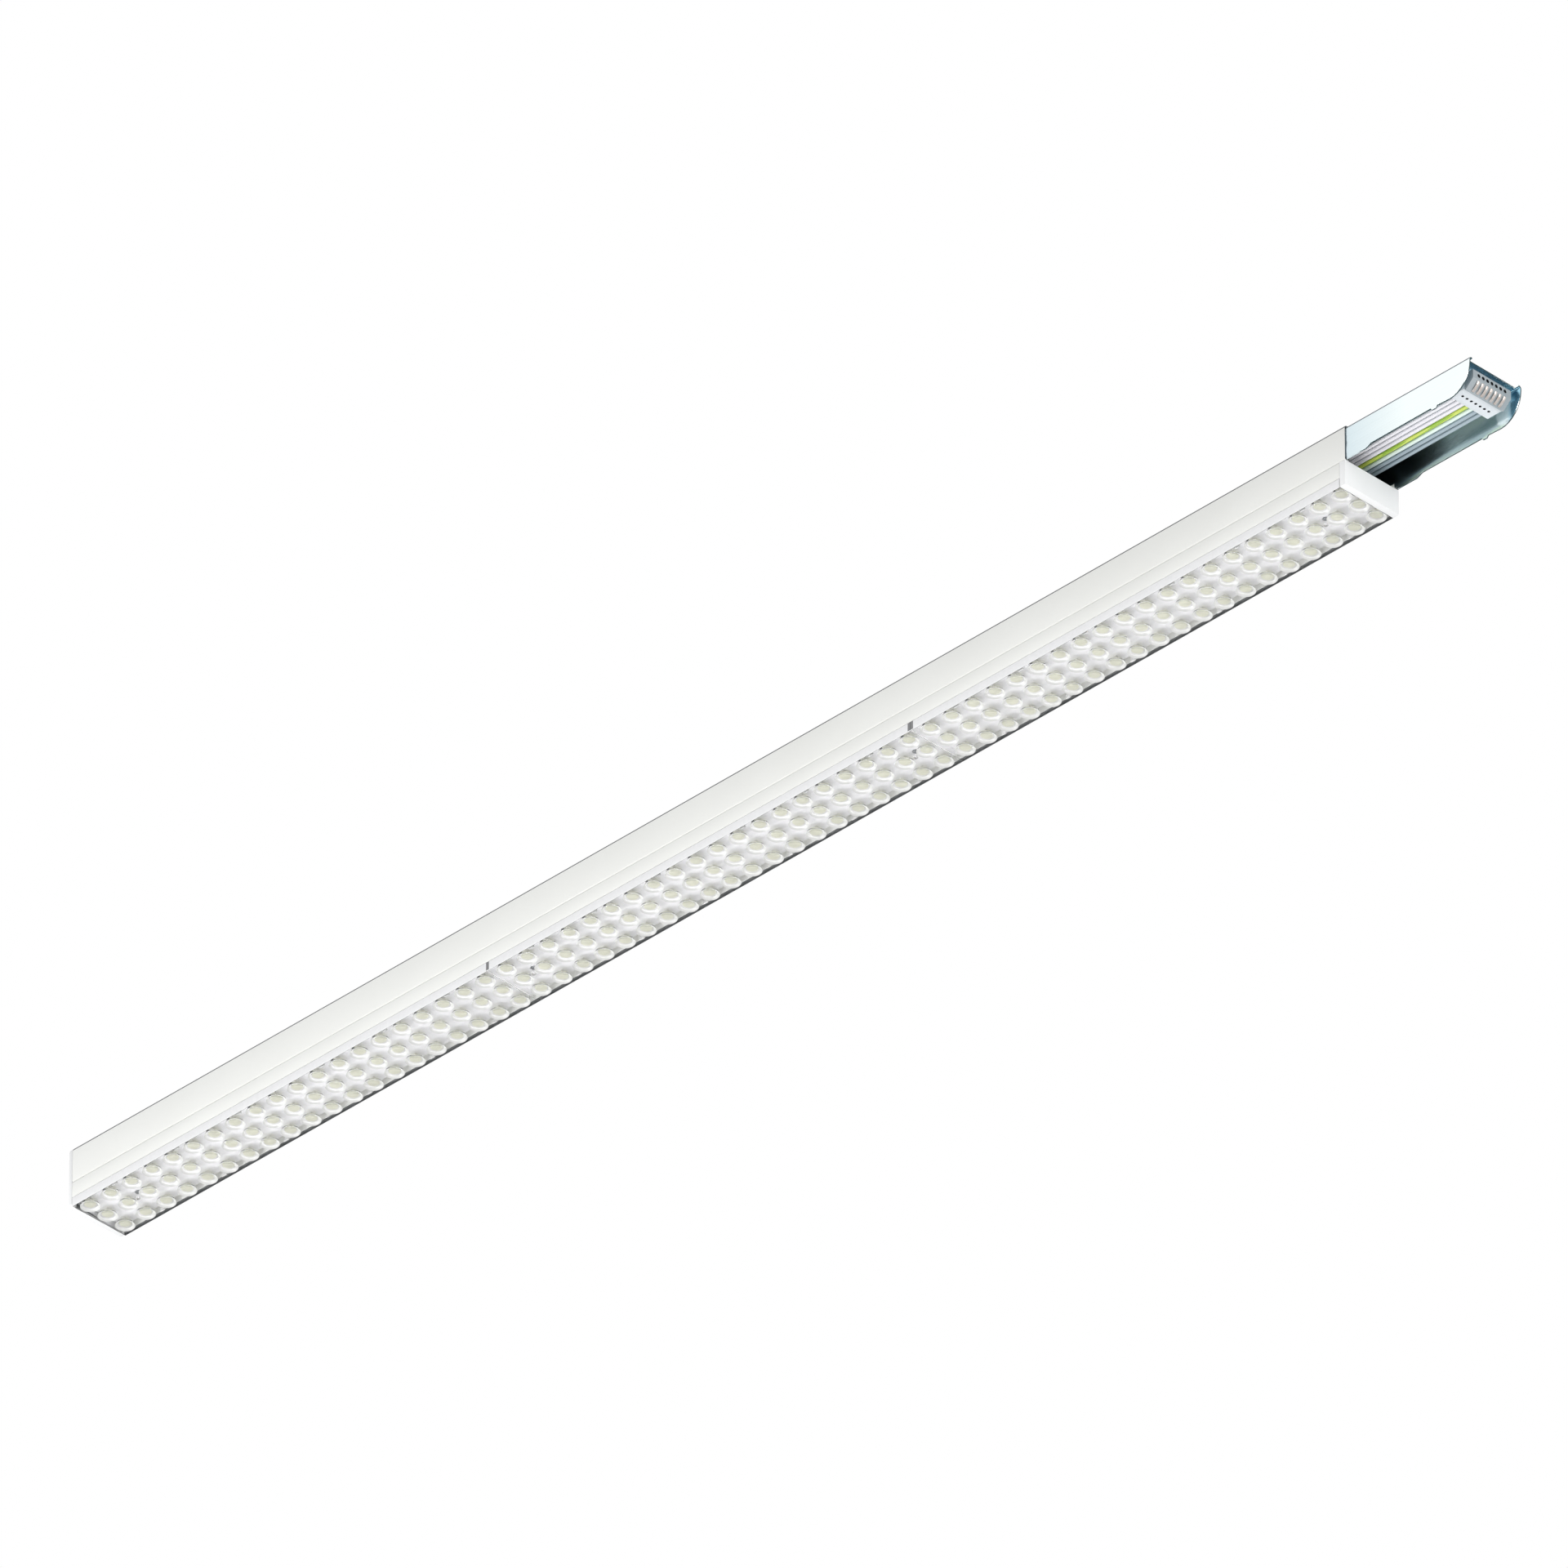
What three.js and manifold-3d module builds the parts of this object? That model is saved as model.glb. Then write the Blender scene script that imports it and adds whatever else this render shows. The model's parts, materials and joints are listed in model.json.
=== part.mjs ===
// A trunking light-line unit: a hemmed steel channel with through-wiring, a clip-in gear tray
// with LED boards and lens plates under it, and a coupling sleeve with a seven-pole connector.
//
// Millimetres. +X runs along the unit towards the coupling sleeve, +Z points up to the ceiling,
// and the origin is the middle of the trunking's top face.

import * as THREE from "three";
import { mergeVertices } from "three/addons/utils/BufferGeometryUtils.js";
import Module from "manifold-3d";

const wasm = await Module();
wasm.setup();

// ---------------------------------------------------------------- driving dimensions

const WIDTH = 71;
const BODY_LENGTH = 1686;
const TRUNKING_HEIGHT = 38.4;
const TRAY_HEIGHT = 17.05;
const LENS_PLATE_HEIGHT = 10.05;
const GROOVE = 0.5; // shadow line between trunking and tray
const GAP = 0.3; // between pieces that touch

const TRUNKING_SHEET = 0.8;
const TRAY_SHEET = 1.0;
const COUPLER_SHEET = 1.5;
const CLIP_SHEET = 0.6;

const COUPLER_REACH = 158.4; // beyond the trunking's end
const COUPLER_GRIP = 120; // inside the trunking
const PLATE_JOINT = 280; // lens plates and boards meet at plus and minus this
const TRAY_FIXINGS = [-784, -252, 252, 784];
const POLES = 7;
const POLE_PITCH = 5.73;
const EARTH_POLE = 3; // the middle one, counted from 0
const WIRE_DIAMETER = 4;
const WIRE_LEVEL = -22.6;
const START_CONNECTOR_FACE = -806;

// ---------------------------------------------------------------- levels and edges

const HALF_WIDTH = WIDTH / 2;
const END = BODY_LENGTH / 2;
const TRAY_TOP = -TRUNKING_HEIGHT - GROOVE;
const TRAY_BOTTOM = TRAY_TOP - TRAY_HEIGHT;
const PLATE_TOP = TRAY_BOTTOM - GAP;
const PLATE_FACE = PLATE_TOP - LENS_PLATE_HEIGHT;
const TRAY_FLOOR = TRAY_BOTTOM + TRAY_SHEET;
const END_COVER = 4.7; // thickness
const TRAY_LEFT = -END + END_COVER + GAP;
const TRAY_RIGHT = END - 7.6;
const PLATE_EDGES = [TRAY_LEFT, -PLATE_JOINT, PLATE_JOINT, TRAY_RIGHT];
const HEM_DEPTH = 4.4;
const HEM_INNER = HALF_WIDTH - 5.9; // the hem lip's inner face
const UPSTAND_TOP = TRAY_TOP + 5.4;
const TRUNKING_INSIDE = HALF_WIDTH - TRUNKING_SHEET; // from the middle plane to the side wall
const FITTED_HALF = TRUNKING_INSIDE - GAP - 0.3; // half width of the pieces that snap in between
const WIRE_HOLE = WIRE_DIAMETER + 0.6;
const POLE_Y = Array.from({ length: POLES }, (_, i) => (i - EARTH_POLE) * POLE_PITCH);

// ---------------------------------------------------------------- materials

const finish = (color, roughness, metalness = 0, extra = {}) => () =>
  new THREE.MeshStandardMaterial({ color, roughness, metalness, ...extra });

const whitePaint = finish(0xf0f0ec, 0.42);
const whitePlastic = finish(0xeef0f0, 0.5);
const zincSteel = finish(0xc9d2d4, 0.22, 1);
const springSteel = finish(0xb4b8bc, 0.3, 1);
const screwSteel = finish(0x9a9ca0, 0.35, 1);
const clearPlastic = finish(0xf4f4f8, 0.08, 0, { transparent: true, opacity: 0.45 });
const boardWhite = finish(0xe6e6ea, 0.45);
const greyPlastic = finish(0xb9bdbc, 0.4);
const copper = finish(0xc98f68, 0.35, 1);
const circuitGreen = finish(0x2f6b46, 0.5);
const driverShell = finish(0xdfe2e3, 0.35, 0.4);
const WIRE_COLOURS = [0xc9c6cf, 0xdad8de, 0xd3cdd6, 0xa8c02e, 0xe2f0ea, 0x9aa8ae, 0x72828c];

// ---------------------------------------------------------------- solids

/** A three.js geometry as a manifold-3d solid. */
function solid(geometry) {
  const bare = geometry.clone();
  bare.deleteAttribute("normal");
  bare.deleteAttribute("uv");
  const merged = mergeVertices(bare, 1e-4);
  return new wasm.Manifold(
    new wasm.Mesh({
      numProp: 3,
      vertProperties: merged.attributes.position.array,
      triVerts: new Uint32Array(merged.index.array),
    }),
  );
}

/** A manifold-3d solid back as a three.js geometry. */
function geometryOf(body) {
  const mesh = body.getMesh();
  const geometry = new THREE.BufferGeometry();
  geometry.setAttribute("position", new THREE.BufferAttribute(mesh.vertProperties, 3));
  geometry.setIndex(new THREE.BufferAttribute(mesh.triVerts, 1));
  const flat = geometry.toNonIndexed();
  flat.computeVertexNormals();
  return flat;
}

/** One solid: the first geometry with the others joined on and the cuts taken away. */
function build(pieces, cuts = []) {
  let body = solid(pieces[0]);
  for (const piece of pieces.slice(1)) body = body.add(solid(piece));
  for (const cut of cuts) body = body.subtract(solid(cut));
  return geometryOf(body);
}

/** A box between two corners. */
function block([x0, x1], [y0, y1], [z0, z1]) {
  const box = new THREE.BoxGeometry(x1 - x0, y1 - y0, z1 - z0);
  return box.translate((x0 + x1) / 2, (y0 + y1) / 2, (z0 + z1) / 2);
}

/** The same box on both sides of the middle plane, given its inner and outer distance. */
function pairOfBlocks(xs, [inner, outer], zs) {
  return [block(xs, [inner, outer], zs), block(xs, [-outer, -inner], zs)];
}

/** An outline pulled out to a depth, with its two directions and the depth turned onto these axes. */
function pulled(outline, options, first, second, outwards) {
  const geometry = new THREE.ExtrudeGeometry(new THREE.Shape(outline), options);
  return geometry.applyMatrix4(new THREE.Matrix4().makeBasis(first, second, outwards));
}

const [X, Y, Z] = [0, 1, 2].map((i) => new THREE.Vector3().setComponent(i, 1));

/** An outline in Y and Z, drawn along X. */
function alongX(outline, x0, x1) {
  return pulled(outline, { depth: x1 - x0, bevelEnabled: false }, Y, Z, X).translate(x0, 0, 0);
}

/** An outline in X and Z, drawn along Y. */
function alongY(outline, y0, y1) {
  const back = Y.clone().negate();
  return pulled(outline, { depth: y1 - y0, bevelEnabled: false }, X, Z, back).translate(0, y1, 0);
}

/** A round bar along X. */
function barX(diameter, x0, x1, y, z, sides = 12) {
  const bar = new THREE.CylinderGeometry(diameter / 2, diameter / 2, x1 - x0, sides);
  return bar.rotateZ(Math.PI / 2).translate((x0 + x1) / 2, y, z);
}

/** A round bar along Z. */
function barZ(diameter, z0, z1, x, y, sides = 16) {
  const bar = new THREE.CylinderGeometry(diameter / 2, diameter / 2, z1 - z0, sides);
  return bar.rotateX(Math.PI / 2).translate(x, y, (z0 + z1) / 2);
}

/** A solid round lead along a smooth curve through the points. */
function leadAlong(points, diameter, sides = 8, steps = 14) {
  const section = new THREE.Shape();
  for (let i = 0; i < sides; i++) {
    const angle = (2 * Math.PI * i) / sides;
    const [u, v] = [Math.cos(angle), Math.sin(angle)].map((c) => (c * diameter) / 2);
    if (i === 0) section.moveTo(u, v);
    else section.lineTo(u, v);
  }
  const curve = new THREE.CatmullRomCurve3(points.map((p) => new THREE.Vector3(...p)));
  return new THREE.ExtrudeGeometry(section, { steps, extrudePath: curve });
}

const at = (u, v) => new THREE.Vector2(u, v);

/** The outline of a sheet bent along a centre line, with one bend radius per inner point. */
function sheetOutline(points, thickness, radii, steps = 4) {
  const line = [];
  points.forEach((point, i) => {
    if (i === 0 || i === points.length - 1) {
      line.push(point.clone());
      return;
    }
    const radius = radii[i - 1];
    const u = point.clone().sub(points[i - 1]).normalize();
    const v = points[i + 1].clone().sub(point).normalize();
    const turn = Math.atan2(u.cross(v), u.dot(v));
    const start = point.clone().addScaledVector(u, -radius * Math.tan(Math.abs(turn) / 2));
    const side = at(-u.y, u.x).multiplyScalar(Math.sign(turn));
    const centre = start.clone().addScaledVector(side, radius);
    for (let k = 0; k <= steps; k++) {
      line.push(start.clone().rotateAround(centre, (turn * k) / steps));
    }
  });
  const offset = (distance) =>
    line.map((point, i) => {
      const before = line[Math.max(i, 1)].clone().sub(line[Math.max(i, 1) - 1]).normalize();
      const next = Math.min(i, line.length - 2);
      const after = line[next + 1].clone().sub(line[next]).normalize();
      const tangent = before.clone().add(after).normalize();
      const reach = distance / tangent.dot(before);
      return point.clone().add(at(-tangent.y, tangent.x).multiplyScalar(reach));
    });
  return [...offset(thickness / 2), ...offset(-thickness / 2).reverse()];
}

/** A centre line and its radii from one half, given from its free end to the middle. */
function mirrored(half, radii) {
  const points = half.map(([y, z]) => at(-y, z));
  const back = half.map(([y, z]) => at(y, z)).reverse();
  return [points.concat(back), radii.concat([...radii].reverse())];
}

/** A rectangle with round corners, centred in the first direction. */
function roundedOutline(halfWidth, low, high, radius, steps = 4) {
  const corners = [
    [halfWidth - radius, low + radius, -Math.PI / 2],
    [halfWidth - radius, high - radius, 0],
    [radius - halfWidth, high - radius, Math.PI / 2],
    [radius - halfWidth, low + radius, Math.PI],
  ];
  return corners.flatMap(([u, v, from]) =>
    Array.from({ length: steps + 1 }, (_, k) => {
      const angle = from + (k / steps) * (Math.PI / 2);
      return at(u + radius * Math.cos(angle), v + radius * Math.sin(angle));
    }),
  );
}

// ---------------------------------------------------------------- the unit

const unit = new THREE.Group();
const trunkingSide = new THREE.Group();
const traySide = new THREE.Group();
unit.add(trunkingSide, traySide);

function place(group, name, geometry, material) {
  const mesh = new THREE.Mesh(geometry, material());
  mesh.name = name;
  group.add(mesh);
}

// ---------------------------------------------------------------- trunking and its ends

function trunkingProfile() {
  const wall = HALF_WIDTH - TRUNKING_SHEET / 2;
  const lip = HEM_INNER + TRUNKING_SHEET / 2;
  const hem = -TRUNKING_HEIGHT + TRUNKING_SHEET / 2;
  const half = [
    [lip, hem + HEM_DEPTH - TRUNKING_SHEET / 2],
    [lip, hem],
    [wall, hem],
    [wall, -TRUNKING_SHEET / 2],
  ];
  const [points, radii] = mirrored(half, [1, 1, 2.6]);
  return alongX(sheetOutline(points, TRUNKING_SHEET, radii), TRAY_LEFT, END);
}

function endCover() {
  const edge = 1.2; // its soft edge
  const outline = roundedOutline(HALF_WIDTH - edge, PLATE_FACE + edge, -edge, 2.4);
  const soft = {
    depth: END_COVER - 2 * edge,
    bevelThickness: edge,
    bevelSize: edge,
    bevelSegments: 2,
  };
  const shell = pulled(outline, soft, Y, Z, X).translate(-END + edge, 0, 0);
  const tongue = { outer: TRUNKING_INSIDE - GAP, sheet: 2.4, length: 18 };
  const tongues = pairOfBlocks(
    [TRAY_LEFT - 1.5, TRAY_LEFT + tongue.length],
    [tongue.outer - tongue.sheet, tongue.outer],
    [-30, -6],
  );
  return build([shell, ...tongues]);
}

/** The block where the wires begin: its flange wedges it between the trunking's walls. */
function startConnector() {
  const [left, right] = [-832, START_CONNECTOR_FACE];
  const [half, flange] = [25, 8];
  const zs = [-29, -16];
  const holes = POLE_Y.map((y) => barX(WIRE_HOLE, right - 12, right + 1, y, WIRE_LEVEL));
  return build(
    [
      block([left, right], [-half, half], zs),
      block([right - flange, right], [-FITTED_HALF, FITTED_HALF], zs),
    ],
    holes,
  );
}

place(trunkingSide, "trunking_profile", trunkingProfile(), whitePaint);
place(trunkingSide, "end_cover", endCover(), whitePlastic);
place(trunkingSide, "start_connector", startConnector(), whitePlastic);

// ---------------------------------------------------------------- coupling sleeve

const COUPLER_TOP = -1.2;
const COUPLER_HALF = TRUNKING_INSIDE - GAP;
const COUPLER_EDGE = -35.3; // the walls' lower edge
const WEB_UNDERSIDE = COUPLER_TOP - COUPLER_SHEET;
const COUPLER_SCREWS = [753, 813];
const COUPLER_SCREW = { head: 9, headHeight: 3, shank: 4.5, hole: 5.1 };

function couplerSleeve() {
  const wall = COUPLER_HALF - COUPLER_SHEET / 2;
  const half = [
    [wall, -45],
    [wall, COUPLER_TOP - COUPLER_SHEET / 2],
  ];
  const [points, radii] = mirrored(half, [2.2]);
  const [back, tip] = [END - COUPLER_GRIP, END + COUPLER_REACH];
  const channel = alongX(sheetOutline(points, COUPLER_SHEET, radii), back, tip);

  const stop = { length: 25.5, drop: 3 }; // foot that meets the trunking's end
  const toe = { from: 108.5, length: 8, drop: 2.4 }; // small foot before the nose
  const nose = { x: 26, z: 30 }; // radii of the walls' round lower front corner
  const noseCentre = COUPLER_EDGE - 0.8 + nose.z;
  const edge = [
    at(back, 5),
    at(back, COUPLER_EDGE),
    at(END + GAP, COUPLER_EDGE),
    at(END + GAP, COUPLER_EDGE - stop.drop),
    at(END + stop.length, COUPLER_EDGE - stop.drop),
    at(END + stop.length + 6.5, COUPLER_EDGE),
    at(END + toe.from, COUPLER_EDGE),
    at(END + toe.from + 1.5, COUPLER_EDGE - toe.drop),
    at(END + toe.from + toe.length - 1.5, COUPLER_EDGE - toe.drop),
    at(END + toe.from + toe.length, COUPLER_EDGE),
  ];
  const steps = 8;
  for (let k = 0; k <= steps; k++) {
    const angle = ((k / steps - 1) * Math.PI) / 2;
    const [x, z] = [nose.x * Math.cos(angle), nose.z * Math.sin(angle)];
    edge.push(at(tip - nose.x + x, noseCentre + z));
  }
  edge.push(at(tip, 5));
  const kept = solid(channel).intersect(solid(alongY(edge, -HALF_WIDTH, HALF_WIDTH)));
  const [setback, corner] = [5, HALF_WIDTH - 5]; // the web ends behind the walls
  const notch = block([tip - setback, tip + 1], [-corner, corner], [WEB_UNDERSIDE - 1, 1]);
  const holes = COUPLER_SCREWS.map((x) => barZ(COUPLER_SCREW.hole, -5, 0, x, 0));
  let body = kept.subtract(solid(notch));
  for (const hole of holes) body = body.subtract(solid(hole));
  return geometryOf(body);
}

/** A screw that clamps the sleeve's web against the trunking's top from inside. */
function couplerScrew(x) {
  const { head, headHeight, shank } = COUPLER_SCREW;
  const seat = WEB_UNDERSIDE - GAP;
  const low = seat - headHeight;
  const slot = block([x - head, x + head], [-0.6, 0.6], [low - 1, low + 1]);
  const parts = [barZ(head, low, seat, x, 0), barZ(shank, seat - 1, -TRUNKING_SHEET - GAP, x, 0)];
  return build(parts, [slot]);
}

place(trunkingSide, "coupler_sleeve", couplerSleeve(), zincSteel);
COUPLER_SCREWS.forEach((x, i) =>
  place(trunkingSide, `coupler_screw_${i + 1}`, couplerScrew(x), screwSteel),
);

// ---------------------------------------------------------------- seven-pole connector

const HOUSING = { back: END + 124, front: END + 142.7, under: -25.3, half: 25 };
const FRONT = { back: HOUSING.front + GAP, face: END + 154, heel: -26.9, toe: -18, top: -8.8 };
const RAMP_START = FRONT.back + 1.5;

function connectorHousing() {
  const body = block(
    [HOUSING.back, HOUSING.front],
    [-HOUSING.half, HOUSING.half],
    [HOUSING.under, WEB_UNDERSIDE - GAP],
  );
  const cuts = POLE_Y.flatMap((y) => [
    barX(WIRE_DIAMETER + 0.4, HOUSING.back - 1, HOUSING.back + 5, y, WIRE_LEVEL),
    barZ(2.8, HOUSING.under - 1, HOUSING.under + 5, HOUSING.back + 9, y, 12),
  ]);
  return build([body], cuts);
}

function connectorFront() {
  const outline = [
    at(FRONT.back, FRONT.heel),
    at(RAMP_START, FRONT.heel),
    at(FRONT.face, FRONT.toe),
    at(FRONT.face, FRONT.top),
    at(FRONT.back, FRONT.top),
  ];
  const sockets = POLE_Y.map((y) => barX(3.8, FRONT.face - 8, FRONT.face + 1, y, -13));
  return build([alongY(outline, -HOUSING.half, HOUSING.half)], sockets);
}

/** A sprung leaf that lies along the ramp and bows away from it. */
function contact(y) {
  const foot = at(RAMP_START, FRONT.heel);
  const along = at(FRONT.face, FRONT.toe).sub(foot);
  const away = at(along.y, -along.x).normalize();
  const point = (share, lift) =>
    foot.clone().addScaledVector(along, share).addScaledVector(away, lift);
  const line = [point(0.08, 0.6), point(0.34, 1.5), point(0.7, 1.5), point(0.94, 0.6)];
  return alongY(sheetOutline(line, 0.5, [1.5, 1.5], 2), y - 1.5, y + 1.5);
}

place(trunkingSide, "connector_housing", connectorHousing(), whitePlastic);
place(trunkingSide, "connector_front", connectorFront(), greyPlastic);
POLE_Y.forEach((y, i) => place(trunkingSide, `contact_${i + 1}`, contact(y), copper));

// ---------------------------------------------------------------- through-wiring

const WIRE_NAMES = ["line_1", "line_2", "line_3", "earth", "neutral", "control_1", "control_2"];
const SOCKET = { left: 300, right: 352, under: -33, top: -17.5 };
const COMB_X = [-600, -200, 620];
const PIN_DIAMETER = 2.2;
const PIN_X = (SOCKET.left + SOCKET.right) / 2;
const PIN_TOP = SOCKET.under + 4.5;
const FIXED_POLES = [3, 4]; // earth and neutral

/** A comb across the trunking that keeps the wires apart, held down by its two uprights. */
function wireComb(x) {
  const xs = [x - 5, x + 5];
  const holes = POLE_Y.map((y) => barX(WIRE_HOLE, x - 6, x + 6, y, WIRE_LEVEL));
  const bar = block(xs, [-FITTED_HALF, FITTED_HALF], [-27.5, -17.7]);
  const upright = [FITTED_HALF - 5.2, FITTED_HALF - 2];
  return build([bar, ...pairOfBlocks(xs, upright, [-20, -TRUNKING_SHEET - GAP])], holes);
}

/** The socket on the wires: a slot for the movable live pin, and holes for the two fixed pins. */
function feedSocket() {
  const zs = [SOCKET.under, SOCKET.top];
  const body = block([SOCKET.left, SOCKET.right], [-FITTED_HALF, FITTED_HALF], zs);
  const tunnels = POLE_Y.map((y) =>
    barX(WIRE_HOLE, SOCKET.left - 1, SOCKET.right + 1, y, WIRE_LEVEL),
  );
  const depth = [SOCKET.under - 1, SOCKET.under + 6];
  const play = 1.6;
  const reach = [POLE_Y[0] - play, POLE_Y[2] + play];
  const liveSlot = block([PIN_X - play, PIN_X + play], reach, depth);
  const fixedHoles = FIXED_POLES.map((i) => barZ(2 * play, ...depth, PIN_X, POLE_Y[i], 12));
  return build([body], [...tunnels, liveSlot, ...fixedHoles]);
}

POLE_Y.forEach((y, i) => {
  const [from, to] = [START_CONNECTOR_FACE - 11, HOUSING.back + 4.5];
  const wire = barX(WIRE_DIAMETER, from, to, y, WIRE_LEVEL, 8);
  place(trunkingSide, `wire_${WIRE_NAMES[i]}`, wire, finish(WIRE_COLOURS[i], 0.45));
});
COMB_X.forEach((x, i) => place(trunkingSide, `wire_comb_${i + 1}`, wireComb(x), whitePlastic));
place(trunkingSide, "feed_socket", feedSocket(), whitePlastic);

// ---------------------------------------------------------------- gear tray

const FLOOR_TOP = TRAY_FLOOR + GAP; // where pieces stand on the tray's floor
const BOARD_CONNECTOR_X = [-236.5, -224];
const SUPPLY_Y = [-6, 0, 6];
const OUTPUT_Y = [-3, 3];
const ENTRY_LEVEL = -49; // where leads enter the terminals
const LINK_HALF = 13;
const DRIVER = { left: -222, right: 182, half: 15, top: -33.9 };
const DRIVER_SCREWS = [DRIVER.left + 7, DRIVER.right - 7];
const FIXING_HOLE = 3.8;

function gearTray() {
  const wall = HALF_WIDTH - TRAY_SHEET / 2;
  const upstand = HEM_INNER - 0.4 - TRAY_SHEET / 2;
  const half = [
    [upstand, UPSTAND_TOP],
    [upstand, TRAY_TOP - TRAY_SHEET / 2],
    [wall, TRAY_TOP - TRAY_SHEET / 2],
    [wall, TRAY_BOTTOM + TRAY_SHEET / 2],
  ];
  const [points, radii] = mirrored(half, [0.8, 0.8, 0.8]);
  const channel = alongX(sheetOutline(points, TRAY_SHEET, radii, 3), TRAY_LEFT, TRAY_RIGHT);
  const lipLevels = [TRAY_BOTTOM - 6.3, TRAY_FLOOR - 0.4];
  const lips = pairOfBlocks([TRAY_LEFT, TRAY_RIGHT], [32.4, 33.2], lipLevels);
  const through = [TRAY_BOTTOM - 1, TRAY_FLOOR + 1];
  const holeX = [...TRAY_FIXINGS, ...DRIVER_SCREWS];
  const screwHoles = holeX.map((x) => barZ(FIXING_HOLE, ...through, x, 0));
  const windows = [-PLATE_JOINT, PLATE_JOINT].map((x) =>
    block([x - LINK_HALF - 1, x + LINK_HALF + 1], [-6.5, 6.5], through),
  );
  const [left, right] = BOARD_CONNECTOR_X;
  windows.push(block([left - 0.7, right + 0.7], [-7.2, 7.2], through));
  return build([channel, ...lips], [...screwHoles, ...windows]);
}

function trayEndCap() {
  const back = TRAY_RIGHT + GAP;
  const shell = block([back, END], [-HALF_WIDTH, HALF_WIDTH], [PLATE_FACE, TRAY_TOP]);
  const wall = 1.8;
  const recess = block(
    [back - 1, END - 2.5],
    [wall - HALF_WIDTH, HALF_WIDTH - wall],
    [PLATE_FACE + wall, TRAY_TOP - wall],
  );
  const tongue = { outer: HALF_WIDTH - TRAY_SHEET - GAP, sheet: 2.2, length: 20 };
  const tongues = pairOfBlocks(
    [back - tongue.length, END - 2],
    [tongue.outer - tongue.sheet, tongue.outer],
    [-53.2, -42],
  );
  const body = solid(shell).subtract(solid(recess));
  return geometryOf(tongues.reduce((sum, tongue) => sum.add(solid(tongue)), body));
}

/** A sprung strap across the tray whose two hooks reach over the trunking's hems. */
function springClip(x) {
  const level = FLOOR_TOP + CLIP_SHEET / 2;
  const over = UPSTAND_TOP + GAP + CLIP_SHEET / 2;
  const half = [
    [HEM_INNER + 1.5, over - 3.3],
    [HEM_INNER + 1.5, over],
    [HEM_INNER - 2, over],
    [24, level],
  ];
  const [points, radii] = mirrored(half, [0.8, 0.8, 2]);
  const strap = alongX(sheetOutline(points, CLIP_SHEET, radii, 3), x - 10, x + 10);
  return build([strap], [barZ(FIXING_HOLE, level - 2, level + 2, x, 0)]);
}

/** The screw that holds a spring clip, put in from below. */
function clipScrew(x) {
  const seat = TRAY_BOTTOM - GAP;
  const low = seat - 2.2;
  const head = barZ(6, low, seat, x, 0);
  const shank = barZ(3, seat - 1, FLOOR_TOP + 1.8, x, 0, 12);
  const drive = block([x - 2, x + 2], [-0.5, 0.5], [low - 1, low + 1]);
  return build([head, shank], [drive]);
}

place(traySide, "gear_tray", gearTray(), whitePaint);
place(traySide, "tray_end_cap", trayEndCap(), whitePlastic);
TRAY_FIXINGS.forEach((x, i) => {
  place(traySide, `spring_clip_${i + 1}`, springClip(x), springSteel);
  place(traySide, `clip_screw_${i + 1}`, clipScrew(x), screwSteel);
});

// ---------------------------------------------------------------- light

const BOARD = { half: 29.5, sheet: 1.6 };
const PLATE = { face: 2.2, rim: 2.0, end: 1.4 };
const TAB_PITCH = 84; // between the snap tabs of one module
const MODULE = 280; // length of a ten-column lens module

/** Runs a maker once for each of the three sections, with the section's two ends. */
function eachSection(maker) {
  return [0, 1, 2].map((i) => maker(PLATE_EDGES[i] + GAP / 2, PLATE_EDGES[i + 1] - GAP / 2));
}

function fixingHoles(left, right, diameter, zs) {
  const inside = TRAY_FIXINGS.filter((x) => x > left && x < right);
  return inside.map((x) => barZ(diameter, ...zs, x, 0));
}

function ledBoard(left, right) {
  const top = TRAY_BOTTOM - GAP;
  const zs = [top - BOARD.sheet, top];
  const clear = left < TRAY_LEFT + 1 ? 2.5 : 0; // room for the first plate's end wall
  const body = block([left + clear, right], [-BOARD.half, BOARD.half], zs);
  return build([body], fixingHoles(left, right, 7.4, [zs[0] - 1, zs[1] + 1]));
}

function lensPlate(left, right) {
  const inside = PLATE_FACE + PLATE.face;
  const parts = [block([left, right], [-HALF_WIDTH, HALF_WIDTH], [PLATE_FACE, inside])];
  const rim = [HALF_WIDTH - PLATE.rim, HALF_WIDTH];
  parts.push(...pairOfBlocks([left, right], rim, [inside - 0.5, PLATE_TOP]));
  const centres = [-2.5, -1.5, -0.5, 0.5, 1.5, 2.5].map((m) => m * MODULE);
  for (const centre of centres.filter((x) => x > left && x < right)) {
    for (const x of [centre - TAB_PITCH, centre, centre + TAB_PITCH]) {
      const tab = pairOfBlocks([x - 3, x + 3], [30.6, 32.1], [inside - 0.5, PLATE_TOP - 2]);
      parts.push(...tab);
    }
  }
  if (left < TRAY_LEFT + 1) {
    parts.push(block([left, left + PLATE.end], [-30, 30], [inside - 0.5, PLATE_TOP - 1]));
  }
  return build(parts, fixingHoles(left, right, 4.4, [PLATE_FACE - 1, inside + 1]));
}

eachSection(ledBoard).forEach((geometry, i) =>
  place(traySide, `led_board_${i + 1}`, geometry, boardWhite),
);
eachSection(lensPlate).forEach((geometry, i) =>
  place(traySide, `lens_plate_${i + 1}`, geometry, clearPlastic),
);

/** A small bridge through a window in the tray that joins two boards. */
function boardLink(x) {
  const foot = TRAY_BOTTOM;
  const body = block([x - LINK_HALF, x + LINK_HALF], [-5.5, 5.5], [foot, foot + 3.6]);
  const arch = block([x - 4, x + 4], [-6, 6], [foot - 1, foot + 1.6]);
  return build([body], [arch]);
}

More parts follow.
